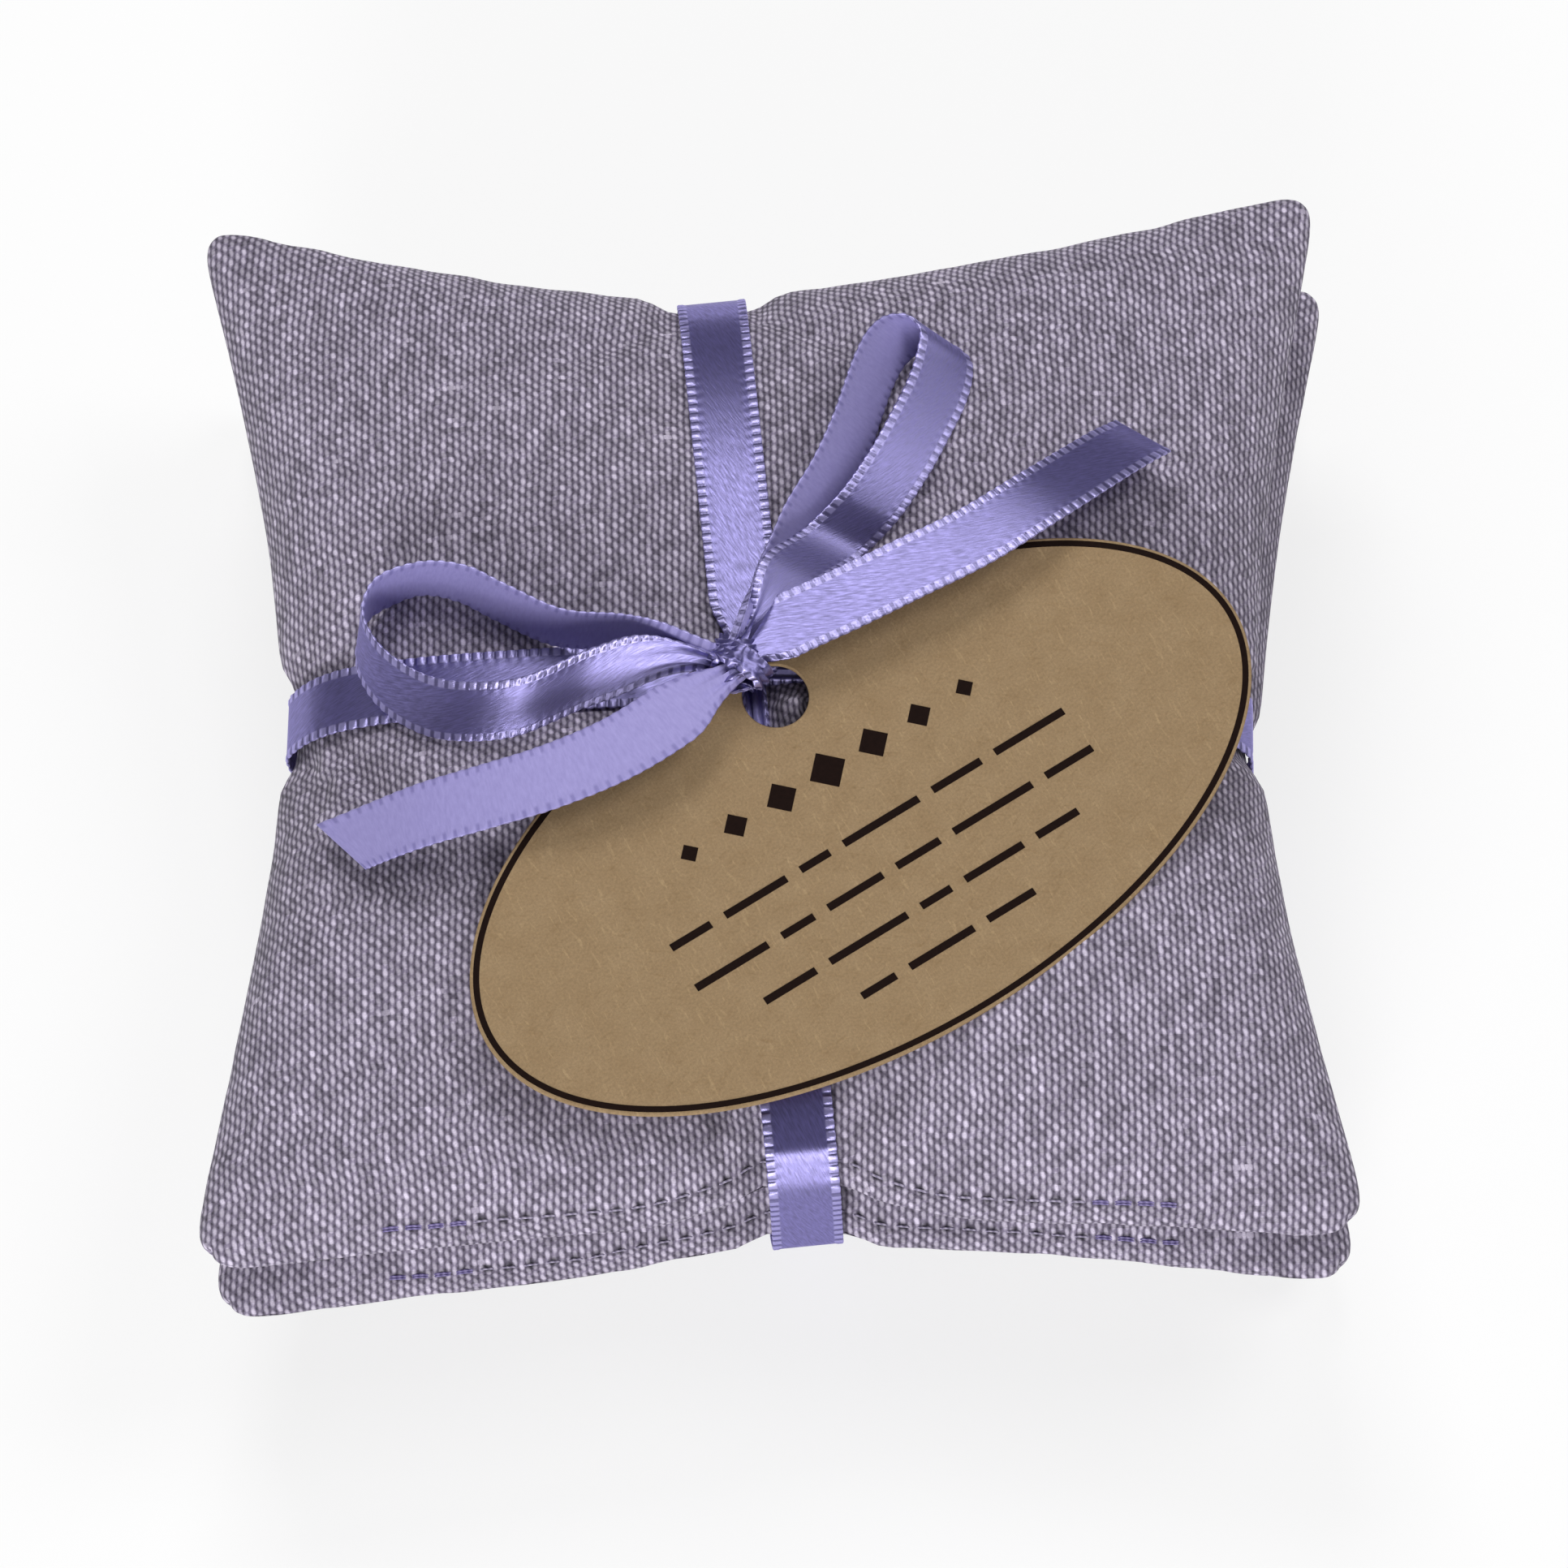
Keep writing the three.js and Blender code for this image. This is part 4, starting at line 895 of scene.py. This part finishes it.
# How far down the tag each row lies, and its dashes' lengths.
DASH_ROWS = (
    (19.6, (4.2, 6.5, 3.1, 8.0, 5.2, 7.4)),
    (23.9, (7.6, 3.4, 5.8, 4.6, 8.4, 5.0)),
    (28.2, (5.4, 8.2, 3.2, 6.2, 4.4)),
    (32.4, (3.6, 6.8, 5.0)),
)
DIAMONDS_DOWN, DIAMOND_PITCH, DIAMOND_HALF, DIAMOND_SHRINK = 13.0, 4.9, 1.9, 0.32


def printed(outline):
    """A thin flat print of the shape inside an outline."""
    points, faces, places = rings([on_tag(outline, INK_LOW), on_tag(outline, INK_HIGH)], closed=False)
    count = len(outline)
    return points, faces + [list(range(count))[::-1], [count + k for k in range(count)]], places


border, border_in = oval(BORDER_INSET), oval(BORDER_INSET + BORDER_WIDTH)
prints = [rings([
    on_tag(border, INK_LOW), on_tag(border, INK_HIGH), on_tag(border_in, INK_HIGH), on_tag(border_in, INK_LOW),
])]
for down, dashes in DASH_ROWS:
    at = -(sum(dashes) + DASH_GAP * (len(dashes) - 1)) / 2
    upper, lower = down - DASH_HALF, down + DASH_HALF
    for length in dashes:
        prints.append(printed([(at, upper), (at + length, upper), (at + length, lower), (at, lower)]))
        at += length + DASH_GAP
for k in range(-3, 4):
    half = DIAMOND_HALF - DIAMOND_SHRINK * abs(k)
    at, down = DIAMOND_PITCH * k, DIAMONDS_DOWN
    prints.append(printed([(at - half, down), (at, down - half), (at + half, down), (at, down + half)]))
piece("tag_border_print", prints, ink, "tag", smooth=False)

# Bow knot
# The bow's knot is the ribbon drawn tight round the roots of the loops and tails, so its turns are crushed into
# narrow pleats.
knot_middle = bow + np.array((0.5, -1.5, -0.6))
knot_axis, knot_side = np.array((0.58, 0.81, 0)), np.array((0.81, -0.58, 0))
cross_axis, cross_side = np.array((-0.26, 0.96, 0)), np.array((0.96, 0.26, 0))
piece("ribbon_bow_knot", [
    wrap(knot_middle, knot_axis, knot_side * 2.8, up * 1.7, width=2.2, pleat=0.3, squeeze=0.15, seed=6),
    wrap(
        knot_middle + (-0.6, 0.9, -0.1), cross_axis, cross_side * 2.2, up * 1.6,
        width=1.5, pleat=0.25, squeeze=0.2, seed=8,
    ),
    wrap(
        knot_middle + (0.3, -0.9, -0.4), cross_axis, cross_side * 2.0, up * 1.4,
        width=1.5, pleat=0.25, squeeze=0.2, seed=11,
    ),
], satin, "stack", ["bow_knot"])

# Bow loops
# Each loop is a stretch of the ribbon standing on its edge, folded back into the knot. It is gathered at both
# roots and opens towards its turn.
LEFT_LOOP = [
    (-0.6, -1.9), (-3.6, -1.5), (-7, -1.9), (-13.3, -3), (-20.2, -4.6), (-26.5, -3.6), (-29.9, -1.7), (-32.8, 1.2),
    (-34.3, 4.6), (-34.4, 7), (-33.3, 9.8), (-29.3, 11.3), (-25.4, 10.5), (-21.9, 8.4), (-16.7, 5.3), (-11.4, 3.2),
    (-7, 1), (-3.6, -0.2), (-0.4, -1),
]
RIGHT_LOOP = [
    (0.6, -1), (3.4, 2.2), (7.4, 7), (11.6, 12.2), (14.8, 15.6), (17.7, 20.2), (19.8, 24.6), (21.3, 28.2),
    (22.1, 31.5), (22, 33.4), (20.5, 35), (18.2, 35), (16.2, 33.3), (14.9, 30.8), (13.8, 27.4), (12.6, 23.5),
    (10.8, 19.2), (8.2, 14.6), (6, 9.4), (2.2, 3.1), (0.3, -0.4),
]
LEFT_LOOP_LEANS = np.array(((0.12, 0.47, 0.87), (0.2, 0.04, 0.98)))
RIGHT_LOOP_LEANS = np.array(((-0.78, 0.18, 0.6), (-0.52, 0.08, 0.85)))
LOOP_ROOT, LOOP_PLEAT, LOOP_GATHER = 2.0, 0.6, (1.5, 11.0)
# Where along the loop its lean turns over, how far it leaves the knot level, and how deep in the knot it starts.
LOOP_TURN, LOOP_LEVEL, LOOP_SINK = (0.35, 0.65), 7.0, 1
LOOP_NEAR, LOOP_STEPS = 0.8, 12


def show_back(made, side):
    """Gives one side (1 or -1) of a piece made of one ribbon the dull back of the satin."""
    made.data.materials.append(satin_back)
    columns = len(RIBBON_COLUMNS)
    first = 0 if side > 0 else columns
    for polygon in made.data.polygons:
        if first <= polygon.index % (2 * columns) < first + columns - 1:
            polygon.material_index = 1


def smooth_line(points, steps):
    """A smooth line through points, with steps pieces between each two."""
    points = np.asarray(points, float)
    ends = np.concatenate([[2 * points[0] - points[1]], points, [2 * points[-1] - points[-2]]])
    line = []
    for k in range(1, len(ends) - 2):
        a, b, c, d = ends[k - 1:k + 3]
        t1 = np.linalg.norm(b - a) ** 0.5
        t2 = t1 + np.linalg.norm(c - b) ** 0.5
        t3 = t2 + np.linalg.norm(d - c) ** 0.5
        for t in np.linspace(t1, t2, steps, endpoint=False):
            ab = a + (b - a) * t / t1
            bc = b + (c - b) * (t - t1) / (t2 - t1)
            cd = c + (d - c) * (t - t2) / (t3 - t2)
            abc = ab + (bc - ab) * t / t2
            bcd = bc + (cd - bc) * (t - t1) / (t3 - t1)
            line.append(abc + (bcd - abc) * (t - t1) / (t2 - t1))
    line.append(points[-1])
    return np.array(line)


def loop(name, node_name, plan, leans, droops, rise, inner):
    """A loop on edge: plan is its lower edge from the knot. leans are the ways its first and last strand stand, and
    droops how steeply they may fall from the knot to rise mm above the bottom of the loop's CAD solid. The ribbon's
    back is on its inner side, which is 1 or -1. The loop's body has its node's name."""
    corners = solid_corners(node_name)
    plan = np.array(plan, float)
    last = len(plan) - 1

    def lean_at(share):
        turned = smoothstep(share, *LOOP_TURN)[:, None]
        return unit(leans[0] * (1 - turned) + leans[1] * turned)

    centre = []
    for k, lean in enumerate(lean_at(np.arange(last + 1) / last)):
        point = plan[k]
        far = np.hypot(*point)
        half = gathered(LOOP_ROOT, smoothstep(far, *LOOP_GATHER)) / 2
        near = np.hypot(*(corners[:, :2] - bow[:2] - point).T)
        low = corners[near < near.min() + LOOP_NEAR, 2].min() + rise
        fall = droops[0 if 2 * k < last else 1] * max(far - LOOP_LEVEL, 0)
        low = max(low, bow[2] - fall - half * lean[2])
        if k in (0, last):
            low = bow[2] - LOOP_SINK - half * lean[2]
        centre.append((*(bow[:2] + point), low) + half * lean)
    line, place, travel = evenly(smooth_line(centre, LOOP_STEPS), RIBBON_STEP)
    lean = lean_at(place / place[-1])
    out = unit(np.cross(tangents(line), lean))
    share = smoothstep(np.hypot(*(line - bow)[:, :2].T), *LOOP_GATHER)
    width = gathered(LOOP_ROOT, share)
    shape = ribbon(line, width[:, None] / 2 * lean, out, pleat=LOOP_PLEAT * (1 - share))
    made = piece(name, [shape], satin, node_name, [node_name])
    show_back(made, inner)


loop("left_bow_loop", "left_loop", LEFT_LOOP, LEFT_LOOP_LEANS, droops=(0.32, 0.55), rise=0, inner=1)
loop("right_bow_loop", "right_loop", RIGHT_LOOP, RIGHT_LOOP_LEANS, droops=(1.2, 1.2), rise=0.8, inner=-1)

# Bow tails
# The ribbon's two cut ends come out of the knot, gathered at first, and droop over the tag and the top sachet.
# They are cut with scissors, the left one at a slant.
LEFT_TAIL = [
    (0.6, -2), (-3, -4.4), (-5.8, -6.8), (-10.7, -9.9), (-16.5, -12.2), (-22.3, -13.5), (-28.1, -14.2),
    (-35.6, -14.6),
]
RIGHT_TAIL = [
    (0.2, -1.2), (3.8, 1.4), (9.9, 4.4), (15.7, 7.4), (21.6, 10.6), (28.3, 15.6), (35.1, 21.8), (37.4, 24.1),
]
TAIL_ROOT, TAIL_PLEAT, GATHER_FROM = 2.0, 0.45, -0.5
TAIL_SAG, TAIL_ABOVE, ROLL_BEND, TAIL_STEPS = 4.5, 0.25, 1.5, 16


def tail(name, node_name, plan, gather, cut, roll, back):
    """A tail that droops to the height where its CAD solid ends. It is gathered over its first gather mm, roll turns
    its far end about its line by degrees, and back is the side, 1 or -1, on which the ribbon's back lies. The tail's
    body has its node's name."""
    plan = np.array(plan, float)
    far = np.hypot(*plan[-1])
    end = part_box(node_name)[0].z / MM + TAIL_ABOVE
    heights = bow[2] + (end - bow[2]) * (np.hypot(*plan.T) / far) ** TAIL_SAG
    centre = np.concatenate([bow[:2] + plan, heights[:, None]], axis=1)
    line, _, travel = evenly(smooth_line(centre, TAIL_STEPS), RIBBON_STEP)
    tangent = tangents(line)
    side = unit(np.cross(up, tangent))
    out = np.cross(tangent, side)
    angle = (math.radians(roll) * (travel / travel[-1]) ** ROLL_BEND)[:, None]
    turned_side = np.cos(angle) * side + np.sin(angle) * out
    turned_out = np.cos(angle) * out - np.sin(angle) * side
    share = smoothstep(travel, GATHER_FROM, gather)
    width = gathered(TAIL_ROOT, share)
    shape = ribbon(line, width[:, None] / 2 * turned_side, turned_out, pleat=TAIL_PLEAT * (1 - share), cut=cut)
    made = piece(name, [shape], satin, node_name, [node_name])
    show_back(made, back)


tail("left_bow_tail", "left_tail", LEFT_TAIL, gather=8, cut=-2.6, roll=0, back=1)
tail("right_bow_tail", "right_tail", RIGHT_TAIL, gather=5, cut=-0.1, roll=-10, back=-1)

# Table, light and camera
# A white table top in a white room, with four soft lamps: one above and a little behind the bundle, one at its
# right and two in front of it. It is seen from high in front with a long lens.
TABLE_HALF = 1.5
table_mesh = bpy.data.meshes.new("white_table")
table_corners = [(x * TABLE_HALF, y * TABLE_HALF, 0) for x, y in ((-1, -1), (1, -1), (1, 1), (-1, 1))]
table_mesh.from_pydata(table_corners, [], [(0, 1, 2, 3)])
table = stand("white_table", table_mesh)
# Matt white paint, which the camera sees as nearly pure white and which still takes soft shadows.
SEEN_WHITE = 0.75
paint, node, *_ = material("matt white paint")
surface = node("BsdfPrincipled", {"Base Color": "#F4F4F4", "Roughness": 0.9})
rays = node("LightPath").outputs
straight = node("Math ADD", rays["Is Camera Ray"], rays["Is Glossy Ray"])
clear = node("Math ADD", straight, rays["Is Transmission Ray"])
seen = node("Math MULTIPLY", clear, SEEN_WHITE, use_clamp=True)
node("OutputMaterial", node("MixShader", seen, surface, node("Emission", {"Strength": 1.0})))
table_mesh.materials.append(paint)

ROOM_LIGHT = 0.2
world = bpy.data.worlds.new("white room")
bpy.context.scene.world = world
world.use_nodes = True
room = world.node_tree.nodes["Background"].inputs
room["Color"].default_value = (1, 1, 1, 1)
room["Strength"].default_value = ROOM_LIGHT

# Each lamp's place and size in metres, and its power in watts.
LAMPS = {
    "soft_lamp_above": ((-0.08, 0.48, 0.74), 0.35, 3.4),
    "soft_lamp_right": ((0.45, 0.12, 0.77), 0.35, 2.4),
    "soft_lamp_front": ((-0.12, -0.75, 0.35), 0.3, 4.0),
    "soft_lamp_low": ((-0.25, -0.8, 0.14), 0.26, 1.4),
}
LAMP_AIM = Vector((0, 0, 0.03))
for name, (at, size, power) in LAMPS.items():
    lamp = bpy.data.lights.new(name, "AREA")
    lamp.size, lamp.energy = size, power
    made = stand(name, lamp)
    made.location = at
    made.rotation_euler = (LAMP_AIM - Vector(at)).to_track_quat("-Z", "Y").to_euler()

CAMERA_ROUND, CAMERA_ABOVE, CAMERA_ROLL = (math.radians(a) for a in (2.15, 62.61, -3.69))
CAMERA_AWAY, CAMERA_LENS, SENSOR_WIDTH = 0.8, 199.94, 36
# The point that the camera looks at: off the crossing, at a height, then across the picture, in mm.
AIM, AIM_HEIGHT, AIM_RIGHT, AIM_UP = np.array((1.2, 0.5)), 20, 1.13, -1.65
back = Vector((
    math.sin(CAMERA_ROUND) * math.cos(CAMERA_ABOVE), -math.cos(CAMERA_ROUND) * math.cos(CAMERA_ABOVE),
    math.sin(CAMERA_ABOVE),
))
level_right = Vector((math.cos(CAMERA_ROUND), math.sin(CAMERA_ROUND), 0))
level_up = back.cross(level_right)
right = math.cos(CAMERA_ROLL) * level_right + math.sin(CAMERA_ROLL) * level_up
upward = -math.sin(CAMERA_ROLL) * level_right + math.cos(CAMERA_ROLL) * level_up
target = Vector((*(crossing[:2] + AIM), AIM_HEIGHT)) * MM + (AIM_RIGHT * right + AIM_UP * upward) * MM
lens = bpy.data.cameras.new("camera")
lens.lens, lens.sensor_width = CAMERA_LENS, SENSOR_WIDTH
camera = stand("camera", lens)
facing = Matrix((right, upward, back)).transposed().to_4x4()
camera.matrix_world = Matrix.Translation(target + back * CAMERA_AWAY) @ facing
bpy.context.scene.camera = camera
bpy.context.scene.view_settings.view_transform = "Standard"
